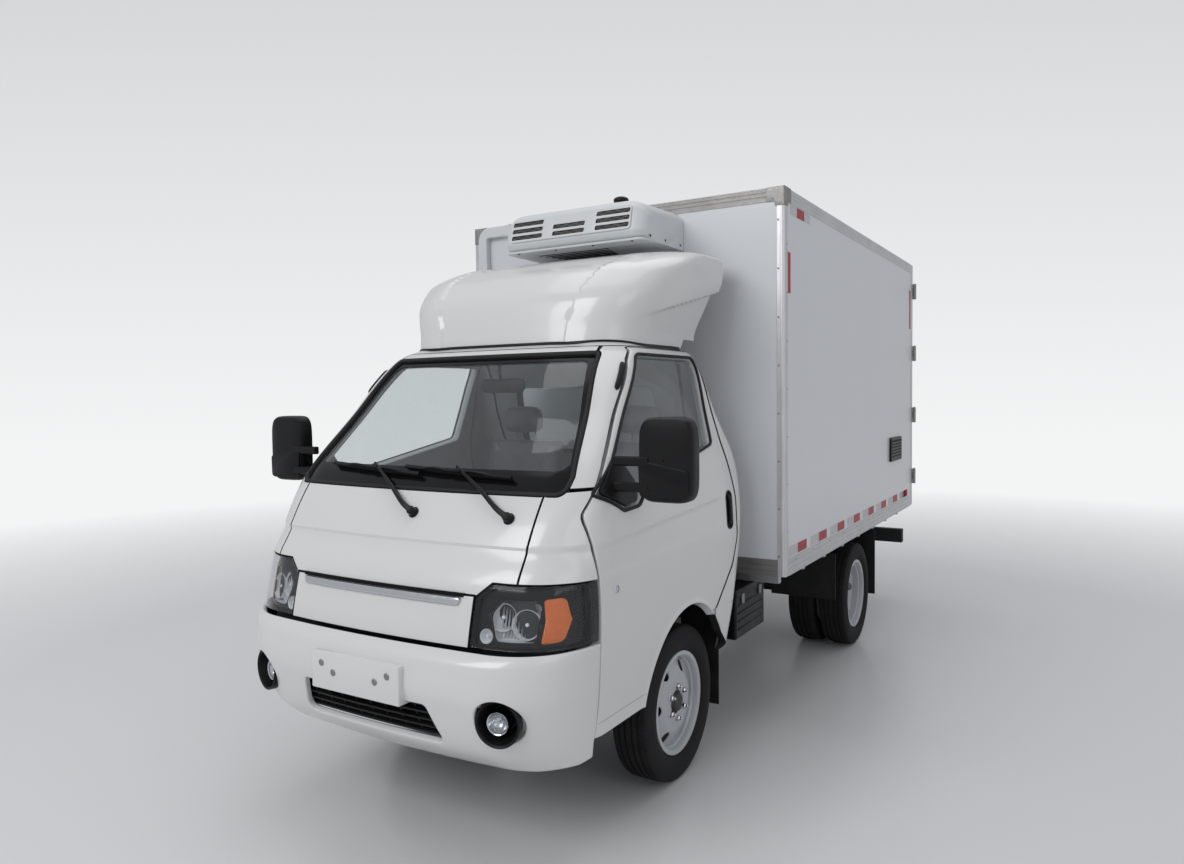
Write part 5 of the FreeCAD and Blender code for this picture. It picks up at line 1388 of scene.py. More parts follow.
def makeTyre(piece, x, station):
    # Profile round the section, denser over the tread; grooves are cut by lowering the radius
    half, crown = tread["half"], tyreRadius - 0.0005
    side = [(0.0695, 0.2055), (0.0695, 0.224), (0.073, 0.2295), (0.0805, 0.2375), (0.0865, 0.252),
            (0.0874, 0.268),
            (0.0868, 0.281), (0.0855, 0.292), (0.0848, 0.2945), (0.0845, 0.2975), (0.0832, 0.305),
            (0.0812, 0.3145),
            (0.0775, 0.3225), (0.0735, 0.3275)]
    across = np.linspace(half, -half, tread["across"])
    radius = crown - 0.0042 * (across / half) ** 4
    for middle, wide in ((-0.043, 0.0042), (-0.0145, 0.0045), (0.0145, 0.0045), (0.043, 0.0042)):
        radius = radius - tread["shadeLine"] * (np.abs(across - middle) < wide)
    profile = np.array(side + list(zip(across, radius)) + [(-a, r) for a, r in reversed(side)])
    around = tread["around"]
    q = np.linspace(0, 2 * math.pi, around, endpoint=False)[:, None]
    a = np.broadcast_to(profile[:, 0], (around, len(profile)))
    r = np.broadcast_to(profile[:, 1], (around, len(profile))).copy()
    # Fine cuts across the ribs, staggered, and notches on the shoulders
    off = np.abs(a)
    phase = (q / (2 * math.pi) * tread["blocks"] + a * 22.0) % 1.0
    cut = (off < half) & (phase < 0.17)
    r -= np.where(cut & (off > 0.0475), 0.005, 0.0)
    r -= np.where(cut & (off < 0.0475) & (np.abs(off - 0.029) < 0.008), 0.0022, 0.0)
    points = np.stack([x + a, station + axleY + r * np.sin(q), axleZ + r * np.cos(q)], -1)
    piece.add(points.reshape(-1, 3), gridFaces(around, len(profile), True, True), 0)


def makeWheels():
    for side, sign in (("left", 1), ("right", -1)):
        x = sign * frontWheelX
        rim = Piece("wheel_front_%s_dressed" % side, wheelSilver, chrome, castIron)
        makeRim(rim, x, 0.0, sign, 0.058, 0.028)
        # The brake drum behind the disc
        turned(rim, wheelCentre(x, 0.0), (sign, 0, 0),
               [(-0.045, 0.0), (-0.045, 0.120), (-0.04, 0.128), (0.010, 0.128),
                                                        (0.012, 0.122), (0.020, 0.118), (0.020, 0.0)], 2, 48)
        rim.make("front_wheel_" + side, "wheel_paint", ["rim_front_" + side])
        tyre = Piece("tyre_front_%s_dressed" % side, tyreRubber)
        makeTyre(tyre, x, 0.0)
        tyre.make("front_wheel_" + side, "tyre", ["tyre_front_" + side], 40.0)
        low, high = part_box("rims_rear_" + side)
        rear = (low.y + high.y) / 2 - axleY
        outer, inner = sign * wheel["outer"], sign * wheel["inner"]
        rims = Piece("wheels_rear_%s_dressed" % side, wheelSilver, chrome, castIron)
        makeRim(rims, outer, rear, sign, -0.052, 0.006)
        makeRim(rims, inner, rear, sign, 0.052, -0.006, False)
        rims.make("rear_wheels_" + side, "wheel_paint", ["rims_rear_" + side])
        for name, place in (("outer", outer), ("inner", inner)):
            tyre = Piece("tyre_rear_%s_%s_dressed" % (name, side), tyreRubber)
            makeTyre(tyre, place, rear)
            tyre.make("rear_wheels_" + side, "tyre", ["tyres_rear_" + side] if name == "outer" else (), 40.0)


makeWheels()
print("wheels and tyres fitted")

# Wind deflector: a skin like the cab's, flaring up and back into a wing on each side, two ridges on its front
deflector = {
    "rows": [(1.870, -0.298, 0.596, 0.460, 0.22), (1.950, -0.285, 0.605, 0.482, 0.22),
             (2.070, -0.262, 0.640, 0.525, 0.23), (2.200, -0.150, 0.680, 0.570, 0.24),
             (2.270, 0.000, 0.697, 0.588, 0.24), (2.310, 0.120, 0.694, 0.592, 0.24),
             (2.335, 0.240, 0.640, 0.592, 0.24)],
    "wall": 0.012, "rear": 0.02, "lift": 0.055, "ridge": 0.345, "columns": 180, "tail": 0.592,
}


def deflectorRelief(x, y, z):
    # A scoop below a crease that climbs rearwards, and a shallow step on the front between two ridges
    crease = 1.975 + 0.24 * (y + 0.226)
    side = rise(y, -0.18, 0.35) * rise(np.abs(x), 0.45, 0.56)
    lift = side * (0.020 * rise(z, crease - 0.012, crease + 0.006) * (1 - rise(z, crease + 0.02, 2.28))
                   - 0.012 * (1 - rise(z, crease - 0.012, crease + 0.006)) * rise(z, 1.88, 1.96))
    ridge = np.abs(x) - deflector["ridge"] - 0.09 * rise(z, 1.9, 2.33)
    return lift + 0.010 * rise(ridge, -0.010, 0.0) * (1 - rise(ridge, 0.0, 0.12)) * (1 - rise(y, 0.0, 0.24))


deflectorSkin = Skin(deflector["rows"], deflectorRelief, deflector["rear"])


def makeDeflector():
    piece = Piece("deflector_dressed", whitePaint, paintedGapShade, blackPlastic)
    # Rows are closer near the top, where the skin turns over
    share = np.concatenate([np.linspace(0, 0.66, 34), np.linspace(0.66, 0.93, 24)[1:],
                            np.linspace(0.93, 1, 10)[1:]])
    u = np.linspace(-1, 1, deflector["columns"])
    base, top = deflector["rows"][0][0], deflector["rows"][-1][0]

    def ends(z):
        # Distance round the skin to its rear edge at each height
        return deflectorSkin.level(z)[-1][3]
    low = np.full(len(u), 1.9)
    foot = base + deflector["lift"] * rise(deflectorSkin.bare(ends(low) * u, low)[:, 1] - axleY, 0.29, 0.34)
    z = foot[None] + (top - foot[None]) * share[:, None]
    points, normals = deflectorSkin(ends(z) * u[None], z)
    # The top closes towards the middle of the rear edge, a touch higher in the middle
    last, inward = points[-1], np.array([0, deflector["tail"] + axleY, top])
    caps = [last + (inward - last) * s + [0, 0, 0.010 * math.sqrt(s) * (1 - 0.4 * s)] for s in
            (0.02, 0.06, 0.12, 0.2, 0.35, 0.55, 0.8, 1.0)]
    outer = np.concatenate([points, np.array(caps)])
    wall = deflector["wall"]
    inner = np.concatenate([points - normals * wall, np.array(caps) - [0, 0, wall]])[::-1]
    rows, columns = len(outer), len(u)
    piece.add(np.concatenate([outer, inner]), gridFaces(2 * rows, columns, closeRows=True))
    for column, turn in ((0, 1), (columns - 1, -1)):
        edge = np.concatenate([outer[:, column], inner[::-1, column]])
        piece.add(edge, gridFaces(2, rows)[:, ::turn], 0)
    # The black seal lies where the skin comes out of the roof
    heights = np.linspace(base, 1.935, 27)
    z = heights[:, None] + 0 * u[None]
    grid, up = deflectorSkin(ends(z) * u[None], z)
    hidden = []
    for height, row in zip(heights, grid):
        level = np.full(300, min(height, cab["roof"]))
        around = cabPlain.bare(cabPlain.level(level)[-1][3] * np.linspace(-1, 1, len(level)), level)
        hidden.append(inside(row[:, :2], around[:, :2]) & (height < cab["roof"]))
    step = np.array(hidden).sum(0).clip(0, len(heights) - 1)
    path = grid[step, np.arange(columns)]
    keep = path[:, 1] - axleY < 0.30
    path, up = path[keep], up[step, np.arange(columns)][keep]
    # Smoothed by the mean of nine neighbours
    kernel = np.ones(9) / 9
    path = np.stack([np.convolve(np.pad(path[:, i], 4, "edge"), kernel, "valid") for i in range(3)], 1)
    extrude(piece, path, up, [0, 0, 1.0], [(-0.004, -0.010), (0.007, -0.010), (0.010, -0.004), (0.008, 0.004),
                                           (0.003, 0.007), (-0.004, 0.006)], 2)
    piece.make("truck", "paint", ["wind_deflector"], 28.0)


makeDeflector()
print("deflector shaped")

# Cooling unit on the box front: rounded housing, a front plate with three columns of slots, slots underneath
cooler = {"half": 0.416, "front": 0.2757, "rear": 0.7267, "columns": (-0.25, 0.0, 0.25),
          "slot": (0.095, 0.011),
          "firstRow": 0.030, "rowPitch": 0.036, "round": 0.07, "aerialX": 0.19, "aerialStation": 0.481}


def makeUnit():
    y0, y1 = cooler["front"], cooler["rear"]
    half, bend = cooler["half"], cooler["round"]
    profile = roundedLoop([(y1, 2.407), (y0 + 0.09, 2.402, 0.03), (y0 + 0.015, 2.427, 0.02),
                           (y0, 2.452, 0.02),
                           (y0 + 0.030, 2.577, 0.03), (y0 + 0.060, 2.607, 0.03), (y1, 2.619)], 0.012)
    profile = anticlockwise(profile)
    # Sections across the width, drawn in towards the rounded ends
    flat = np.linspace(-half + bend, half - bend, 24)
    q = np.linspace(0, math.pi / 2, 12)[1:]
    ends = half - bend + bend * np.sin(q)
    x = np.concatenate([-ends[::-1], flat, ends])
    pull = np.concatenate([(1 - np.cos(q))[::-1], 0 * flat, 1 - np.cos(q)])
    rings = []
    for a, s in zip(x, pull):
        y, z = profile[:, 0].copy(), profile[:, 1].copy()
        forward = (y1 - y) / (y1 - y0)
        y = y + forward * s * 0.085
        crown = rise(z, 2.50, 2.61)
        z = z - crown * (0.050 * s + 0.02 * rise(abs(a), 0.30, half)) + (1 - crown) * s * 0.016 * forward
        rings.append(at(a, y, z))
    piece = Piece("cooling_unit_dressed", unitWhite, paintedGapShade, blackPlastic, unitWhite, steel)
    lofted(piece, rings)
    # Front plate on the slope, proud of the housing, over a near-black sheet of painted shade that stands for
    # the dark behind the slots
    foot = at(0, y0 - 0.0005, 2.452)
    up = at(0, y0 + 0.030, 2.577) - at(0, y0, 2.452)
    length = np.linalg.norm(up)
    up = up / length
    out = np.cross([1.0, 0, 0], up)
    slope = flatSurface(foot, [1.0, 0, 0], up)
    outline = boxLoop((-0.352, 0.006), (0.352, length - 0.002), 0.016)
    # Three rows of slots in each column, but two in the middle one, each leaning a little by its row
    wide, tall = cooler["slot"]
    slots = [(column, row) for column in cooler["columns"] for row in range(3) if column or row < 2]
    holes = []
    for column, row in slots:
        v = cooler["firstRow"] + cooler["rowPitch"] * row
        lean = 0.0015 * (row - 1)
        holes.append(roundedLoop([(column - wide, v - tall, 0.006), (column + wide - 0.004, v - tall, 0.006),
                                  (column + wide + lean, v + tall, 0.006),
                                  (column - wide + 0.004 + lean, v + tall, 0.006)], 0.004))
    panel(piece, slope, outline, holes, 0.0065, 0.03, 0.0022, 0.007, (3, 3, 3))
    panel(piece, slope, insetLoop(anticlockwise(outline), 0.006), (), 0.001, 0.08, 0.0004, 0.0012, (1, 1, 1))
    # A zigzag of bright fins behind each slot
    for column, row in slots:
        u = np.linspace(column - 0.088, column + 0.088, 90)
        v = cooler["firstRow"] + cooler["rowPitch"] * row + 0.006 * np.sign(np.sin(u * 1100.0))
        line = foot + np.outer(u, [1.0, 0, 0]) + np.outer(v, up) + out * 0.0032
        extrude(piece, line, up, out, [(-0.0014, -0.001), (0.0014, -0.001), (0.0014, 0.001),
                                       (-0.0014, 0.001)], 4)
    # Fixing lip round the foot, slots underneath drawn as thin blocks of painted shade, screws
    lip = roundedLoop([(-0.408, 0.345), (-0.40, 0.300, 0.03), (0.40, 0.300, 0.03), (0.408, 0.345),
                       (0.408, 0.715),
                       (-0.408, 0.715)], 0.03)
    prism(piece, lip, at(0, 0, 2.4085), (1, 0, 0), (0, 1, 0), 0.012, 0, 0.003)
    for k in range(6):
        y, reach = 0.395 + 0.042 * k, 0.21 - 0.012 * k
        loop = boxLoop((-reach - 0.05, y), (reach - 0.05, y + 0.014), 0.005, 0.006)
        prism(piece, loop, at(0, 0, 2.4012), (1, 0, 0), (0, 1, 0), 0.004, 1, 0.0005)
    for a in (-0.33, -0.1, 0.12, 0.34):
        turned(piece, at(a, 0.318, 2.4075), (0, 0, -1), [(-0.001, 0.0065), (0.002, 0.006), (0.003, 0.0)], 2,
               16)
    for b in (0.36, 0.52, 0.69):
        for side in (-1, 1):
            turned(piece, at(side * half, b, 2.432), (side, 0, 0),
                   [(-0.001, 0.006), (0.002, 0.0055), (0.003, 0.0)], 2, 16)
    # Aerial: a black mushroom on a pale collar
    foot = at(cooler["aerialX"], cooler["aerialStation"], 2.600)
    turned(piece, foot, (0, 0, 1), [(0, 0.03), (0.014, 0.0295), (0.017, 0.026), (0.030, 0.0215),
                                    (0.042, 0.021)], 4, 36)
    turned(piece, foot, (0, 0, 1), [(0.040, 0.020), (0.040, 0.036), (0.045, 0.0385), (0.053, 0.038),
                                    (0.060, 0.033),
                                    (0.065, 0.022), (0.067, 0.0)], 2, 40)
    piece.make("truck", "unit_plastic", ["cooling_unit"], 30.0)
    # The white duct for the pipes, up the box front and across behind the unit
    duct = Piece("duct_dressed", unitWhite, blackPlastic)
    left, top, corner = -0.87, 2.63, 0.045
    turn = [(left + corner - corner * math.cos(a), top - corner + corner * math.sin(a))
            for a in np.linspace(0, math.pi / 2, 10)]
    path = np.array([(left, 1.70), (left, 2.2)] + turn + [(-0.456, top)])
    centre = at(path[:, 0], 0.708, path[:, 1])
    along = unit(np.gradient(centre, axis=0))
    face = [0, -1.0, 0]
    side = np.cross(face, along)

    def section(half, deep):
        return roundedLoop([(-half, -0.018, 0.0), (half, -0.018, 0.0), (half, deep, 0.006),
                            (-half, deep, 0.006)],
                           0.004)
    extrude(duct, centre, side, face, section(0.030, 0.016))
    # Four joint sleeves, each at a share of the way between two points of the path
    last = len(path) - 1
    for low, high, share in ((0, 1, 0.01), (0, 1, 1.0), (1, 3, 0.6), (last - 2, last, 0.4)):
        middle = centre[low] + (centre[high] - centre[low]) * share
        ends = np.stack([middle - along[low] * 0.02, middle + along[low] * 0.02])
        extrude(duct, ends, side[low], face, section(0.034, 0.019))
    duct.make("truck", "unit_plastic", ["line_duct"])


makeUnit()
print("cooling unit and duct built")

# Insulated box: ribbed rails, corner posts and castings, rivets, reflective tape, and the vent
cargo = {"front": 0.727, "rear": 3.763, "half": 0.955, "low": 0.765, "top": 2.671, "post": 0.042,
         "edge": 0.07,
         "bottom": 0.082, "casting": 0.092, "skin": 0.003, "pitch": 0.235, "tapeLow": 0.856,
         "tapeHigh": 0.906,
         "tape": 0.15, "gap": 0.07}


def rivets(piece, places, axis, look, radius=0.0055):
    for place in places:
        turned(piece, place, axis,
               [(-0.001, radius), (0.0008, radius * 0.95), (0.002, radius * 0.6), (0.0024, 0.0)], look, 10)


def makeBox():
    front, rear, half, low, top = (cargo[k] for k in ("front", "rear", "half", "low", "top"))
    post, edge, bottom = cargo["post"], cargo["edge"], cargo["bottom"]
    rails = Piece("box_rails", railAluminium, aluminium, steel)
    out, ahead, back, up = [1.0, 0, 0], [0, -1.0, 0], [0, 1.0, 0], [0, 0, 1.0]
    # The bottom rail has four ribs along it; both rails run from the rear to the front
    centre = at(half, np.array([rear, front + post - 0.001]), low)
    shape = [(-0.012, 0.0), (0.0025, 0.0)]
    for z in (0.0, 0.027, 0.054, 0.074):
        shape += [(0.0, z + 0.0005) if z else (0.0025, 0.0005), (0.0030, z + 0.0015), (0.0030, z + 0.0065),
                  (0.0, z + 0.008)]
    shape += [(0.0, bottom - 0.0015), (-0.0015, bottom), (-0.012, bottom)]
    shape = [p for i, p in enumerate(shape) if i == 0 or math.dist(p, shape[i - 1]) > 2e-4]
    extrude(rails, centre, out, up, shape)
    # The top rail rounds over the roof's edge and has two grooves
    crest = top - low
    shape = [(-0.012, crest - edge), (-0.0012, crest - edge), (0.0, crest - edge + 0.0015),
             (0.0, crest - edge + 0.018),
             (-0.0016, crest - edge + 0.0195), (-0.0016, crest - edge + 0.0235), (0.0, crest - edge + 0.025),
             (0.0, crest - 0.034), (-0.0016, crest - 0.0325), (-0.0016, crest - 0.0285), (0.0, crest - 0.027),
             (0.0, crest - 0.012), (-0.0012, crest - 0.007), (-0.0040, crest - 0.003),
             (-0.009, crest - 0.0008),
             (-0.014, crest), (-edge + 0.002, crest), (-edge, crest - 0.0015), (-edge, crest - 0.012),
             (-0.012, crest - 0.012)]
    extrude(rails, centre, out, up, shape)
    # Upright corner post: two flats with a rounded nose and a bead on each side of it
    bend = 0.018
    turn = [(bend * math.sin(q) - bend, bend - bend * math.cos(q)) for q in np.linspace(0, math.pi / 2, 12)]
    shape = [(-post, 0.012), (-post, 0.0012), (-post + 0.0012, 0.0), (-0.024, 0.0), (-0.0235, 0.0014),
             (-0.0215, 0.0014), (-0.021, 0.0)] + turn
    shape += [(0.0, 0.021), (-0.0014, 0.0215), (-0.0014, 0.0235), (0.0, 0.024), (0.0, post - 0.0012),
              (-0.0012, post), (-0.012, post), (-0.012, 0.012)]
    extrude(rails, at(half, front, np.array([low, top - edge])), out, back, shape, 1)
    # Castings close the upper front corners, one face ahead and one to the side
    size, z = cargo["casting"], top - 0.0015
    loop = roundedLoop([(0, 0, 0.010), (-size, 0, 0.006), (-size, -edge, 0.006),
                        (-post - 0.004, -edge, 0.004),
                        (-post - 0.004, -size, 0.006), (0, -size, 0.006)], 0.006)
    for place, across, cut in ((at(half - 0.004, front - 0.0012, z), out, loop),
                               (at(half + 0.0012, front + 0.004, z), back, loop * [-1, 1])):
        panel(rails, flatSurface(place, across, up), cut, (), 0.004, 0.02, 0.0015, 0.0, (2, 2, 2))
    turned(rails, at(half - 0.0115, front + 0.0115, top - 0.0935), (0, 0, 1),
           [(0, 0.0), (0, 0.0125), (0.086, 0.0125), (0.0905, 0.010), (0.0925, 0.0)], 2, 28)
    block(rails, at(half - size, front - 0.0006, top - 0.004), at(half + 0.0006, front + 0.05, top - 0.0002),
          2, 0.0016)
    rivets(rails, at(half - 0.033, front, np.arange(low + 0.10, top - 0.16, cargo["pitch"])), ahead, 2)
    rivets(rails, at(half, front + 0.033, np.arange(low + 0.22, top - 0.16, cargo["pitch"])), out, 2, 0.004)
    rivets(rails, [at(half - 0.06, front - 0.001, top - 0.055), at(half - 0.022, front - 0.001, top - 0.085)],
           ahead, 2)
    rivets(rails, at(half, np.arange(front + 0.16, rear, 0.3), low + 0.0665), out, 2, 0.0038)
    rails.both()
    # Flat angles run across the front, one along the top and one along the bottom
    end = half - size + 0.001
    shape = [(0.0, -edge), (0.0, -0.048), (-0.0016, -0.0465), (-0.0016, -0.044), (0.0, -0.0425),
             (0.0, -0.028),
             (-0.0016, -0.0265), (-0.0016, -0.024), (0.0, -0.0225), (0.0, -0.010), (-0.004, -0.003),
             (-0.011, 0.0),
             (-0.05, 0.0), (-0.05, -0.008), (-0.010, -0.012), (-0.010, -edge)]
    extrude(rails, at(np.array([end, -end]), front, top), ahead, up, shape, 2)
    end = half - post
    shape = [(-0.01, 0.0), (0.0, 0.0), (0.0, 0.020), (-0.0018, 0.0215), (-0.0018, 0.0255), (0.0, 0.027),
             (0.0, 0.050), (-0.0018, 0.0515), (-0.0018, 0.0555), (0.0, 0.057), (0.0, bottom - 0.001),
             (-0.001, bottom), (-0.01, bottom)]
    extrude(rails, at(np.array([end, -end]), front, low), ahead, up, shape, 2)
    rails.make("truck", "box_trim", ["box_trim"], 24.0)
    # Tape: white and red lengths above the bottom rail, a short run at the top, strips at both ends
    tape = Piece("reflective_tape", tapeWhite, tapeRed)
    skin = half - cargo["skin"]

    def strip(y0, y1, z0, z1, look):
        plate(tape, at(skin - 0.001, y0, z0), at(skin + 0.0008, y1, z1), look)
    start, length = front + post + 0.003, cargo["tape"]
    while start + 2 * length + cargo["gap"] < rear + 0.02:
        for k in range(2):
            strip(start + k * length, start + (k + 1) * length, cargo["tapeLow"], cargo["tapeHigh"], k)
        start += 2 * length + cargo["gap"]
    for y0, y1, look in ((0.05, 0.15, 0), (0.15, 0.27, 1), (0.27, 0.37, 0)):
        strip(front + post + y0, front + post + y1, top - edge - 0.054, top - edge - 0.004, look)
    strip(front + post + 0.003, front + post + 0.050, 2.16, 2.36, 1)
    strip(rear - 0.053, rear - 0.006, 2.16, 2.46, 1)
    tape.both().make("truck", "box_trim")
    # Vent with a frame and sloping slats
    vent = Piece("box_vent", blackPlastic, paintedGapShade)
    inner = boxLoop((0.022, 0.020), (0.330, 0.152), 0.008, 0.008)
    panel(vent, flatSurface(at(skin + 0.015, 3.024, 1.164), back, up),
          boxLoop((0, 0), (0.352, 0.172), 0.014, 0.008),
          [inner], 0.016, 0.03, 0.003)
    # A near-black back of painted shade behind the slats, for the dark inside the vent
    panel(vent, flatSurface(at(skin + 0.0125, 3.024, 1.164), back, up),
          insetLoop(anticlockwise(inner), -0.004), (),
          0.001, 0.06, 0.0004, 0.0, (1, 1, 1))
    for z in np.linspace(1.196, 1.304, 6):
        extrude(vent, at(skin + 0.008, np.array([3.040, 3.360]), z), out, up,
                [(0.0, 0.0), (0.0075, -0.012), (0.0085, -0.010), (0.0085, -0.006), (0.0, 0.006)])
    vent.make("truck", "black_plastic")


makeBox()
print("box trimmed")

# Rear portal and doors: gasket, edge frame, straps on barrels, locking bars with cams, keepers and handles
leaf = {"inner": 0.003, "outer": 0.909, "low": 0.841, "high": 2.605, "face": 3.829, "deep": 0.07,
        "axisX": 0.967,
        "axisY": 3.844, "levels": (0.995, 1.4837, 1.9723, 2.461), "strap": 0.035, "barX": 0.18, "barY": 3.849,
        "handleUp": 0.515, "frame": 0.034}


def makeRearDoors():
    face = leaf["face"]
    piece = Piece("rear_door_left_dressed", boxWhite, aluminium, sealRubber, steel, blackPlastic, tapeRed,
                  tapeWhite)
    lookFrom = flatSurface(at(0, face, 0), [-1.0, 0, 0], [0, 0, 1.0])
    w0, w1, z0, z1, f = (leaf[k] for k in ("inner", "outer", "low", "high", "frame"))
    loop = boxLoop((-w1, z0), (-w0, z1), 0.004, 0.05)
    hole = boxLoop((-w1 + f, z0 + f), (-w0 - f, z1 - f), 0.004, 0.05)
    panel(piece, lookFrom, loop, (), leaf["deep"], 0.2, 0.0008, -0.0014)
    panel(piece, lookFrom, loop, [hole], 0.004, 0.1, 0.0008, 0.0, (1, 1, 1))
    seal = insetLoop(anticlockwise(loop), 0.012)
    bead(piece, lookFrom, insetLoop(anticlockwise(hole), -0.002),
         [(-0.004, -0.001), (0.004, -0.001), (0.003, 0.0022), (-0.003, 0.0022)], 2)
    inner = flatSurface(at(0, face - leaf["deep"], 0), [1.0, 0, 0], [0, 0, 1.0])
    bead(piece, inner, anticlockwise(seal * [-1, 1]),
         [(-0.008, -0.001), (0.008, -0.001), (0.006, 0.006), (0.0, 0.008), (-0.006, 0.006)], 2)
    s = leaf["strap"]
    for z in leaf["levels"]:
        strap = roundedLoop([(-0.955, z - s + 0.002, 0.003), (-0.64, z - s + 0.010, 0.022),
                             (-0.64, z + s - 0.010, 0.022),
                             (-0.955, z + s - 0.002, 0.003)], 0.012)
        panel(piece, lookFrom, strap, (), 0.0115, 0.08, 0.0015, 0.012, (3, 3, 3))
        block(piece, at(0.945, face + 0.0058, z - s + 0.002), at(leaf["axisX"], face + 0.0118, z + s - 0.002),
              3, 0.001)
        turned(piece, at(leaf["axisX"], leaf["axisY"], z - s), (0, 0, 1),
               [(0.0005, 0.0075), (0.0005, 0.0105), (0.0015, 0.0118), (2 * s - 0.0015, 0.0118),
                (2 * s - 0.0005, 0.0105), (2 * s - 0.0005, 0.0075)], 3, 32, True)
        for x in (0.68, 0.76, 0.84):
            turned(piece, at(x, face + 0.012, z), (0, 1, 0),
                   [(-0.001, 0.010), (0.003, 0.010), (0.006, 0.0075), (0.0068, 0.0)], 3, 18)
    # The bar is a tube from a cam at the foot to a cam at the head, held by four brackets
    bx, by = leaf["barX"], leaf["barY"]
    long = z1 - z0 - 0.024
    turned(piece, at(bx, by, z0 + 0.012), (0, 0, 1), [(0, 0), (0, 0.013), (long, 0.013), (long, 0)], 3, 28)
    shape = [(-0.017, -0.017), (-0.017, 0.004), (-0.012, 0.0135), (0, 0.017), (0.012, 0.0135), (0.017, 0.004),
             (0.017, -0.017), (0.0135, -0.017), (0.0135, 0.0), (-0.0135, 0.0), (-0.0135, -0.017)]
    for z in (z0 + 0.06, z0 + 0.48, z0 + 0.90, z1 - 0.06):
        loop = boxLoop((-bx - 0.034, z - 0.020), (-bx + 0.034, z + 0.020), 0.006, 0.006)
        panel(piece, lookFrom, loop, (), 0.004, 0.04, 0.001, 0.004, (3, 3, 3))
        extrude(piece, at(bx, by, np.array([z + 0.013, z - 0.013])), [1.0, 0, 0], [0, 1.0, 0], shape, 3)
        for dx in (-0.026, 0.026):
            turned(piece, at(bx + dx, face + 0.004, z), (0, 1, 0),
                   [(-0.001, 0.005), (0.003, 0.005), (0.0045, 0.0)], 3, 12)
    for z, up in ((z0 + 0.010, 1), (z1 - 0.010, -1)):
        block(piece, at(bx - 0.016, by - 0.012, z), at(bx + 0.016, by + 0.016, z + up * 0.03), 3, 0.004)
    # Handle: a flat lever hinged on the bar, resting in a catch
    zh = z0 + leaf["handleUp"]
    block(piece, at(bx - 0.014, by - 0.004, zh - 0.024), at(bx + 0.014, by + 0.012, zh + 0.024), 3, 0.003)
    tube(piece, smoothPath([at(bx, by + 0.004, zh), at(bx + 0.03, by + 0.007, zh),
                            at(bx + 0.12, by + 0.0075, zh),
                            at(bx + 0.22, by + 0.007, zh - 0.002)], 20), 0.0085, 3, 14, 0.65)
    tube(piece, [at(bx + 0.13, by + 0.0075, zh), at(bx + 0.20, by + 0.0078, zh - 0.001),
                 at(bx + 0.228, by + 0.007, zh - 0.002)], 0.0115, 4, 14, 0.7)
    block(piece, at(bx + 0.165, face, zh - 0.030), at(bx + 0.205, face + 0.006, zh + 0.030), 3, 0.002)
    block(piece, at(bx + 0.176, face + 0.004, zh - 0.026), at(bx + 0.194, by + 0.018, zh - 0.014), 3, 0.003)
    for k in range(5):
        x = 0.29 + 0.13 * k
        plate(piece, at(x, face - 0.001, 0.90), at(x + 0.075, face + 0.0022, 0.95), 6 if k % 2 else 5)
    makePair(piece, "cargo_door_", "box_panel", "rear_door_", 28.0)
    # Portal: the fixed frame with its halves of the hinges, the bars' keepers and three marker lamps
    portal = Piece("rear_portal", aluminium, steel, redLens, blackPlastic)
    half, low, top = cargo["half"], cargo["low"], cargo["top"]
    outer = roundedLoop([(-half, low, 0.004), (half, low, 0.004), (half, top, 0.014), (-half, top, 0.014)],
                        0.3)
    hole = boxLoop((-0.915, 0.835), (0.915, 2.611), 0.003, 0.3)
    panel(portal, lookFrom, outer, [hole], face - cargo["rear"], 0.2, 0.003, 0.0)
    high = 0.0237
    for side in (-1, 1):
        axisX, axisY = side * leaf["axisX"], leaf["axisY"]
        for z in leaf["levels"]:
            for foot in (z - s - 0.024, z + s + 0.0003):
                turned(portal, at(axisX, axisY, foot), (0, 0, 1), [(0, 0.0), (0, 0.0112), (0.001, 0.012),
                       (high - 0.001, 0.012), (high, 0.0112), (high, 0.0)], 1, 28)
                block(portal, at(side * 0.921, face - 0.0005, foot + 0.001),
                      at(axisX, face + 0.008, foot + high - 0.001), 1, 0.001)
            turned(portal, at(axisX, axisY, z - s - 0.026), (0, 0, 1),
                   [(0, 0), (0, 0.0070), (2 * s + 0.052, 0.0070), (2 * s + 0.054, 0.0058),
                    (2 * s + 0.0545, 0)], 1, 20)
        for z in (0.785, 2.632):
            block(portal, at(side * 0.155, face, z - 0.013), at(side * 0.205, face + 0.020, z + 0.013), 1,
                  0.003)
            block(portal, at(side * 0.135, face, z - 0.018), at(side * 0.225, face + 0.003, z + 0.018), 1,
                  0.001)
        for x in (-0.72,) if side < 0 else (0.72, 0.0):
            block(portal, at(x - 0.042, face, 2.628), at(x + 0.042, face + 0.012, 2.652), 3, 0.004)
            block(portal, at(x - 0.036, face + 0.008, 2.632), at(x + 0.036, face + 0.020, 2.648), 2, 0.005)
        rivets(portal, at(side * 0.94, face, np.arange(0.86, 2.62, 0.25)), (0, 1, 0), 1, 0.004)
    rivets(portal, at(np.arange(-0.82, 0.83, 0.205), face, 0.815), (0, 1, 0), 1, 0.004)
    portal.make("truck", "box_trim", ["rear_frame"], 28.0)


makeRearDoors()
print("rear doors hung")

# Cab inside: two padded seats, dashboard, steering wheel, mirror and visors
seat = {"x": 0.35, "cushion": (-0.225, 0.255, 0.822, 0.958, 0.232),
        "back": [(0.268, 0.84), (0.353, 0.84), (0.428, 1.45), (0.362, 1.45), (0.268, 0.925)],
        "head": (0.36, 1.548, 0.118, 0.066, 0.036), "voxel": 0.013, "headVoxel": 0.009, "pressure": 4.0,
        "cap": 0.012}


def evaluated(made):
    graph = bpy.context.evaluated_depsgraph_get()
    return bpy.data.meshes.new_from_object(made.evaluated_get(graph))


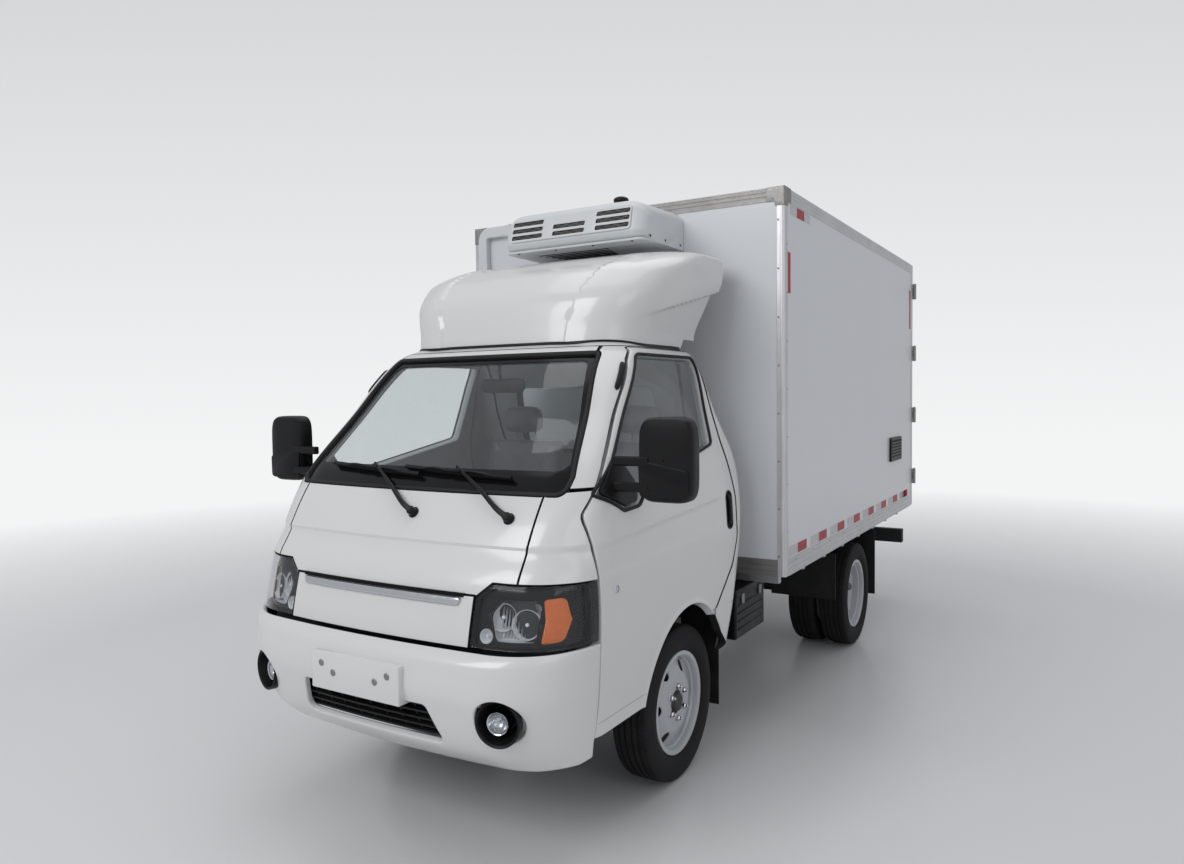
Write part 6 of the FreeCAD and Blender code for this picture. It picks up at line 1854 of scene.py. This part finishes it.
def stuffed(piece, voxel):
    # The plain form is remeshed, blown up a little as a cloth, held to the cap, and smoothed once
    made = piece.make("truck", "seat_fabric")
    remesh = made.modifiers.new("remesh", "REMESH")
    remesh.mode, remesh.voxel_size = "VOXEL", voxel
    scene = bpy.context.scene
    scene.frame_set(1)
    bpy.context.view_layer.update()
    whole = evaluated(made)
    made.modifiers.clear()
    looks = list(made.data.materials)
    made.data = whole
    whole.materials.clear()
    for look in looks:
        whole.materials.append(look)
    rest = np.zeros(len(whole.vertices) * 3)
    whole.vertices.foreach_get("co", rest)
    fabric = made.modifiers.new("cloth", "CLOTH")
    fabric.settings.use_pressure = True
    fabric.settings.uniform_pressure_force = seat["pressure"]
    fabric.settings.effector_weights.gravity = 0.0
    fabric.settings.quality = 4
    for moment in range(1, 21):
        scene.frame_set(moment)
    blown = evaluated(made)
    moved = np.zeros(len(rest))
    if len(blown.vertices) * 3 == len(rest):
        blown.vertices.foreach_get("co", moved)
        shift = (moved - rest).reshape(-1, 3)
        size = np.linalg.norm(shift, axis=1)[:, None]
        shift = shift * np.minimum(1, seat["cap"] / np.maximum(size, 1e-9))
        whole.vertices.foreach_set("co", (rest.reshape(-1, 3) + shift).ravel())
    made.modifiers.clear()
    scene.frame_set(1)
    whole.polygons.foreach_set("use_smooth", np.ones(len(whole.polygons), bool))
    whole.update()
    smooth = made.modifiers.new("smooth", "SUBSURF")
    smooth.levels = smooth.render_levels = 1
    return made


def makeSeats():
    y0, y1, z0, z1, half = seat["cushion"]
    x = seat["x"]
    lift = np.array([-1.0, -0.97, -0.86, -0.74, -0.66, 0.66, 0.74, 0.86, 0.97, 1.0]) * half
    crest = np.array([-0.030, 0.006, 0.022, 0.016, 0.0, 0.0, 0.016, 0.022, 0.006, -0.030])

    def pad(name, loop, crown):
        # Sections across the pad, its top or its front swollen towards the side rolls
        piece = Piece(name, seatCloth)
        rings = []
        for across, high in zip(lift, crest):
            ring = loop.copy()
            ring[:, 1] += high * crown[0] * rise(ring[:, 1], *crown[2])
            ring[:, 0] -= high * crown[1] * (1 - rise(ring[:, 0], *crown[3]))
            rings.append(at(x + across, ring[:, 0], ring[:, 1]))
        lofted(piece, rings)
        return piece
    side = anticlockwise(roundedLoop([(y0, z0, 0.03), (y1, z0, 0.03), (y1, z1 - 0.02, 0.03),
                                      (y0 + 0.05, z1, 0.06),
                                      (y0, z1 - 0.03, 0.05)], 0.02))
    cushion = pad("seat_cushion_left", side, (1.0, 0.0, (z0 + 0.05, z1), (0, 1)))
    loop = anticlockwise(roundedLoop([(a, b, 0.028) for a, b in seat["back"]], 0.02))
    back = pad("seat_back_left", loop, (0.0, 1.0, (0, 1), (0.28, 0.42)))
    hy, hz, hx, hh, hd = seat["head"]
    rest = Piece("seat_headrest_left", seatCloth)
    loop = roundedLoop([(-hx, -hh, 0.045), (hx, -hh, 0.045), (hx * 0.9, hh, 0.05), (-hx * 0.9, hh, 0.05)],
                       0.015)
    prism(rest, loop, at(x, hy + hd, hz), (1, 0, 0), (0, 0, 1), 2 * hd, 0, 0.018)
    for piece, voxel, fill in ((cushion, seat["voxel"], 0.7), (back, seat["voxel"], 0.7),
                               (rest, seat["headVoxel"], 0.8)):
        made = stuffed(piece, voxel)
        twin = made.copy()
        twin.data = made.data.copy()
        twin.name = made.name.replace("left", "right")
        place = np.zeros(len(twin.data.vertices) * 3)
        twin.data.vertices.foreach_get("co", place)
        twin.data.vertices.foreach_set("co", (place.reshape(-1, 3) * [-1, 1, 1]).ravel())
        twin.data.flip_normals()
        bpy.context.scene.collection.objects.link(twin)
    # Headrest rods, slides under the cushion, and the lever beside it
    metalwork = Piece("seat_frames", steel, blackPlastic)
    for a in (-0.06, 0.06):
        tube(metalwork, [at(x + a, 0.392, 1.425), at(x + a, 0.385, 1.5)], 0.006, 0, 12)
    for a in (-0.17, 0.17):
        block(metalwork, at(x + a - 0.02, y0 + 0.06, 0.8155), at(x + a + 0.02, y1 - 0.02, 0.835), 1, 0.004)
    lever = [at(x + 0.238, 0.27, 0.86), at(x + 0.243, 0.20, 0.875), at(x + 0.243, 0.12, 0.885)]
    tube(metalwork, smoothPath(lever, 12), 0.011, 1, 12)
    # Piping round the cushion's side seams
    seam = Piece("seat_seams", blackPlastic)
    q = insetLoop(side, -0.004)
    for sign in (-1, 1):
        ring = at(x + sign * half * 0.62, q[:, 0], q[:, 1] + 0.006 * (q[:, 1] > 0.9))
        outward = np.cross(unit(np.roll(ring, -1, 0) - np.roll(ring, 1, 0)), [1.0, 0, 0])
        carry(seam, ring, [1.0, 0, 0], outward, circle(0, 0, 0.0035, 6))
    seam.both().make("truck", "seat_fabric")
    metalwork.both().make("truck", "interior_plastic", ["seat_left", "seat_right"])


makeSeats()
print("seats padded")

# Dashboard with a hood over the instruments, and the steering wheel
dash = {"half": 0.664, "rear": -0.694, "panelLow": 1.012, "wheel": (0.35, -0.455, 1.165), "radius": 0.178,
        "tilt": 58.0}


def makeDash():
    piece = Piece("dashboard_dressed", dashPlastic, blackPlastic, trimPlastic, paintedGapShade)
    profile = roundedLoop([(-0.958, 0.962, 0.02), (-0.762, 0.932, 0.05), (-0.694, 1.01, 0.04),
                           (-0.656, 1.15, 0.03),
                           (-0.690, 1.222, 0.045), (-0.85, 1.262, 0.08), (-0.955, 1.236, 0.02)], 0.014)
    profile = anticlockwise(profile)
    ends = dash["half"] - np.array([0.024, 0.009, 0.001, 0.0])
    x = np.concatenate([-ends[::-1], np.linspace(-0.6, 0.6, 61), ends])
    rings = []
    for a in x:
        y, z = profile[:, 0].copy(), profile[:, 1].copy()
        end = rise(abs(a), 0.63, dash["half"])
        hood = rise(a, 0.14, 0.20) * (1 - rise(a, 0.50, 0.56))
        high = rise(z, 1.19, 1.26)
        z = z + high * (0.034 * hood - 0.012 * end)
        y = y + (0.022 * hood * rise(z, 1.1, 1.2) - 0.020 * end) * rise(y, -0.80, -0.69)
        # Nothing comes nearer to the cab's skin than the bulkhead's room allows
        skin = cabPlain.bare(*cabPlain.fromFront(pairs(a, z)).T)
        rings.append(at(a, np.maximum(y, skin[:, 1] - axleY + 0.062), z))
    lofted(piece, rings)
    # Rear face: a centre panel with three knobs, the glove box lid and four vents with slats
    slope = np.array([0, 0.038, 0.14]) / math.hypot(0.038, 0.14)
    out = np.cross([-1.0, 0, 0], slope)
    rearFace = flatSurface(at(0, dash["rear"], dash["panelLow"]), [-1.0, 0, 0], slope)

    def lid(x0, x1, v0, v1, look, lift, edge=0.003, corner=0.015):
        loop = boxLoop((-x1, v0), (-x0, v1), corner, 0.02)
        panel(piece, rearFace, loop, (), lift + 0.004, 0.05, edge, lift, (look, look, look))
    lid(-0.12, 0.12, -0.012, 0.128, 2, 0.010)
    lid(-0.58, -0.16, 0.0, 0.08, 0, 0.007)
    # The vents' faces are painted shade, near-black for the dark inside them behind their slats
    for x0, x1 in ((-0.64, -0.56), (0.57, 0.645), (-0.108, -0.006), (0.006, 0.108)):
        lid(x0, x1, 0.088, 0.124, 3, 0.012, 0.002, 0.008)
        for v in np.linspace(0.094, 0.118, 4):
            ends = at(np.array([x0 + 0.005, x1 - 0.005]), dash["rear"], dash["panelLow"])
            tube(piece, ends + slope * v + out * 0.013, 0.0018, 1, 8)
    for x0 in (-0.07, 0.0, 0.07):
        foot = at(x0, dash["rear"], dash["panelLow"]) + slope * 0.045
        turned(piece, foot, out.copy(), [(0.008, 0.019), (0.02, 0.018), (0.026, 0.015), (0.027, 0.0)], 1, 28)
    piece.make("truck", "interior_plastic", ["dashboard"], 30.0)
    # Steering wheel on its column
    rim = Piece("steering_wheel_dressed", blackPlastic, trimPlastic, dashPlastic)
    cx, cy, cz = dash["wheel"]
    tilt = math.radians(dash["tilt"])
    axis = np.array([0, math.cos(tilt), math.sin(tilt)])
    across = np.array([1.0, 0, 0])
    up = np.cross(across, axis)
    up = up if up[2] > 0 else -up
    centre = at(cx, cy, cz)
    q = np.linspace(0, 2 * math.pi, 96, endpoint=False)
    outward = np.outer(np.cos(q), across) + np.outer(np.sin(q), up)
    carry(rim, centre + dash["radius"] * outward, outward, axis, circle(0, 0, 0.0145, 14))
    for angle in (200, 250, 290, 340):
        d = math.cos(math.radians(angle)) * across + math.sin(math.radians(angle)) * up
        path = smoothPath([centre + d * 0.04 - axis * 0.028, centre + d * 0.10 - axis * 0.020,
                           centre + d * 0.172 - axis * 0.004], 14)
        tube(rim, path, 0.013, 0, 12, 0.6)
    turned(rim, centre, axis, [(-0.045, 0.0), (-0.045, 0.045), (-0.03, 0.062), (-0.008, 0.068),
                               (0.004, 0.060),
                               (0.010, 0.045), (0.012, 0.0)], 0, 48)
    tube(rim, [centre - axis * 0.03, centre - axis * 0.30], 0.032, 2, 24)
    for side in (-1, 1):
        stalk = [centre - axis * down + across * reach * side
                 for down, reach in ((0.085, 0.03), (0.075, 0.10), (0.070, 0.16))]
        tube(rim, smoothPath(stalk, 12), 0.008, 0, 12)
    rim.make("truck", "interior_plastic", ["steering_wheel"])
    # Rear-view mirror on its stalk and two sun visors
    top = Piece("cab_roof_fittings", blackPlastic, trimPlastic, chrome)
    loop = roundedLoop([(-0.11, -0.03, 0.026), (0.11, -0.03, 0.026), (0.12, 0.032, 0.026),
                        (-0.12, 0.032, 0.026)], 0.01)
    prism(top, loop, at(0.03, -0.30, 1.715), (1, 0, 0), (0, 0.1, 0.995), 0.022, 0, 0.006)
    tube(top, smoothPath([at(0.03, -0.325, 1.74), at(0.03, -0.335, 1.775), at(0.03, -0.33, 1.81)], 10), 0.008,
         0, 12)
    for side in (-1, 1):
        loop = roundedLoop([(-0.2, 0, 0.02), (0.17, 0, 0.03), (0.2, 0.13, 0.04), (-0.2, 0.13, 0.03)], 0.02)
        prism(top, loop, at(side * 0.30, -0.272, 1.845), (1, 0, 0), (0, 0.86, -0.15), 0.014, 1, 0.005)
    top.make("truck", "interior_plastic")


makeDash()
print("dashboard and wheel in")

# Running gear and the pieces kept from the solids: what each is painted or made of
under = {
    "chassis_frame": chassisBlack, "front_axle": chassisBlack, "rear_axle": chassisBlack,
    "drive_shaft": steel,
    "engine_block": castIron, "exhaust": steel, "radiator": castIron, "knuckle_left": castIron,
    "knuckle_right": castIron,
    "fuel_tank": chassisBlack, "battery_box": blackPlastic, "mudguards": sealRubber,
    "rear_guard": chassisBlack,
    "tail_lamps": redLens, "box_side_walls": boxWhite, "box_front_wall": boxWhite, "box_roof": boxWhite,
    "box_floor": floorAluminium, "evaporator": unitWhite, "cab_floor": dashPlastic,
}


def shadeLine(piece, q):
    # A thin line of painted shade on the skin along (distance round, height) points, standing for the shadow
    # in a seam
    p, n = cabSkin(*q.T)
    extrude(piece, p[::-1], [0, 0, 1.0], n[::-1], [(-0.0022, -0.002), (0, 0.0007), (0.0022, -0.002)])


def makeUnder():
    for node, look in under.items():
        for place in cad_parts[node].material_slots:
            place.material = look
    # Battery cover with ribs and two catches
    extra = Piece("frame_fittings", blackPlastic, steel, chassisBlack, chrome)
    block(extra, at(0.438, 0.598, 0.655), at(0.748, 1.002, 0.702), 0, 0.008)
    for z in (0.50, 0.54, 0.58, 0.62):
        block(extra, at(0.742, 0.63, z - 0.006), at(0.749, 0.97, z + 0.006), 0, 0.003)
    for y in (0.68, 0.92):
        block(extra, at(0.744, y - 0.015, 0.625), at(0.755, y + 0.015, 0.675), 1, 0.003)
    for x in (0.50, 0.58, 0.66):
        block(extra, at(x - 0.006, 0.591, 0.47), at(x + 0.006, 0.602, 0.64), 0, 0.003)
    extra.make("truck", "black_plastic")
    # Two straps and the cap of the tank
    tank = Piece("tank_fittings", steel, blackPlastic)
    for y in (0.88, 1.18):
        loop = boxLoop((-0.724, 0.396), (-0.396, 0.644), 0.02, 0.03)
        ring = at(loop[:, 0], y, loop[:, 1])
        along = unit(np.roll(ring, -1, 0) - np.roll(ring, 1, 0))
        carry(tank, ring, [0, 1.0, 0], np.cross(along, [0, 1.0, 0]),
              [(-0.02, -0.002), (0.02, -0.002), (0.02, 0.002), (-0.02, 0.002)])
    turned(tank, at(-0.6, 1.05, 0.638), (0, 0, 1), [(0, 0.03), (0.02, 0.03), (0.024, 0.036), (0.045, 0.036),
                                                    (0.05, 0.03), (0.05, 0)], 1, 32)
    tank.make("truck", "tank_steel")
    # Three lenses a side in a black frame, and tape along the guard
    rear = Piece("rear_lamp_lenses", redLens, amberGlass, lampGlass, blackPlastic, tapeWhite, tapeRed)
    for x0, x1, look in ((0.606, 0.686, 2), (0.690, 0.770, 0), (0.774, 0.854, 1)):
        block(rear, at(x0, 3.796, 0.486), at(x1, 3.806, 0.544), look, 0.006)
    block(rear, at(0.596, 3.774, 0.476), at(0.864, 3.798, 0.554), 3, 0.005)
    for k in range(4):
        x0 = 0.02 + 0.14 * k
        plate(rear, at(x0, 3.771, 0.50), at(x0 + 0.14, 3.7735, 0.55), 4 + k % 2)
    rear.both().make("truck", "tail_lamp")
    # Lines of painted shade where the sill and the rear step panel meet the skin above them, for the shadow
    # in those seams
    sill = Piece("sill_line_left", paintedGapShade)
    shadeLine(sill, leaned(pairs(np.linspace(-0.785, -0.435, 40), 0.520)))
    makePair(sill, "cab_door_", "paint")
    step = Piece("step_shade_lines", paintedGapShade)
    shadeLine(step, cabSkin.fromSide(pairs(np.linspace(0.372, 0.50, 24), 0.70)))
    step.both().make("truck", "paint")


makeUnder()
print("running gear finished")

# Floor, backdrop and soft lights
studio = {"floor": (0.80, 0.80, 0.80), "wall": (0.86, 0.865, 0.87), "near": (0.90, 0.905, 0.91),
          "far": (0.66, 0.67, 0.68), "sky": (0.42, 0.92), "gleam": 0.4, "bend": 9.0, "radius": 5.0}


def areaLight(name, place, target, size, power):
    data = bpy.data.lights.new(name, "AREA")
    data.shape, data.size, data.size_y = "RECTANGLE", size[0], size[1]
    data.energy = power
    light = bpy.data.objects.new(name, data)
    bpy.context.scene.collection.objects.link(light)
    ahead = Vector(target) - Vector(place)
    light.matrix_world = Matrix.Translation(place) @ ahead.to_track_quat("-Z", "Y").to_matrix().to_4x4()


def makeStudio():
    # A floor that sweeps up into the wall far behind the truck
    bend, radius = studio["bend"], studio["radius"]
    profile = [(-16.0, 0.0), (bend, 0.0)]
    profile += [(bend + radius * math.sin(q), radius - radius * math.cos(q))
                for q in np.linspace(0.05, math.pi / 2, 24)]
    profile += [(bend + radius, 16.0)]
    across = np.linspace(-22, 22, 12)
    yaw = math.radians(view["yaw"])
    ahead, right = np.array([-math.sin(yaw), math.cos(yaw)]), np.array([math.cos(yaw), math.sin(yaw)])
    points = [[*(ahead * d + right * a), h - 0.0005] for a in across for d, h in profile]
    mesh = bpy.data.meshes.new("studio_floor")
    mesh.from_pydata(points, [], gridFaces(len(across), len(profile)).tolist())
    mesh.polygons.foreach_set("use_smooth", np.ones(len(mesh.polygons), bool))
    floor = bpy.data.objects.new("studio_floor", mesh)
    bpy.context.scene.collection.objects.link(floor)
    look = Look("studioFloor", studio["floor"], 0.26, Specular_IOR_Level=0.5)
    where = look.node("ShaderNodeTexCoord", output="Object")
    reach = look.node("ShaderNodeVectorMath", {"operation": "LENGTH"}, {0: where}, 1)
    look.set("Base Color", look.between(look.band(reach, 2.5, 9.0), studio["floor"], studio["wall"]))
    # Far off, what the camera and mirrors see is the pale backdrop, its glow darkened towards the top as
    # painted shade
    ray = look.node("ShaderNodeLightPath", output="Is Camera Ray")
    seen = ray + look.node("ShaderNodeLightPath", output="Is Glossy Ray") * studio["gleam"]
    seen = seen + look.node("ShaderNodeLightPath", output="Is Transmission Ray")
    height = look.node("ShaderNodeSeparateXYZ", {}, {0: where}, 2)
    # Painted shade: the glow goes from the near tone low down to the darker far tone high up
    tone = look.between(look.band(height, 0.5, 11.0), studio["near"], studio["far"])
    glow = look.node("ShaderNodeEmission", {}, {"Color": tone, "Strength": 1.0})
    share = look.band(reach, 4.0, 10.5) * look.band(seen, 0.0, 1.0)
    blend = look.node("ShaderNodeMixShader", {}, {0: share, 1: Value(look, look.shader.outputs[0]), 2: glow})
    look.tree.links.new(blend.link, look.tree.nodes["Material Output"].inputs["Surface"])
    mesh.materials.append(look.material)
    world = bpy.data.worlds.new("studio")
    bpy.context.scene.world = world
    world.use_nodes = True
    world.node_tree.nodes["Background"].inputs["Color"].default_value = (0.93, 0.95, 1.0, 1)
    # The camera sees a brighter sky than the one that lights the truck, and mirrors one between the two
    tree = world.node_tree
    ray = tree.nodes.new("ShaderNodeLightPath")
    seen = tree.nodes.new("ShaderNodeMath")
    seen.operation = "MULTIPLY_ADD"
    seen.inputs[1].default_value = studio["gleam"]
    sky = tree.nodes.new("ShaderNodeMapRange")
    tree.links.new(ray.outputs["Is Glossy Ray"], seen.inputs[0])
    tree.links.new(ray.outputs["Is Camera Ray"], seen.inputs[2])
    tree.links.new(seen.outputs[0], sky.inputs["Value"])
    sky.inputs["To Min"].default_value, sky.inputs["To Max"].default_value = studio["sky"]
    tree.links.new(sky.outputs[0], tree.nodes["Background"].inputs["Strength"])
    areaLight("key", (-1.5, -9.5, 6.5), (0, -1.0, 1.2), (6.0, 4.0), 300.0)
    areaLight("fill", (8.0, -5.0, 4.5), (0, -0.5, 1.0), (5.0, 4.0), 55.0)
    areaLight("top", (0.0, 0.5, 8.0), (0, 0, 0), (7.0, 7.0), 130.0)
    bpy.context.scene.view_settings.view_transform = "Standard"


makeStudio()
print("studio lit")
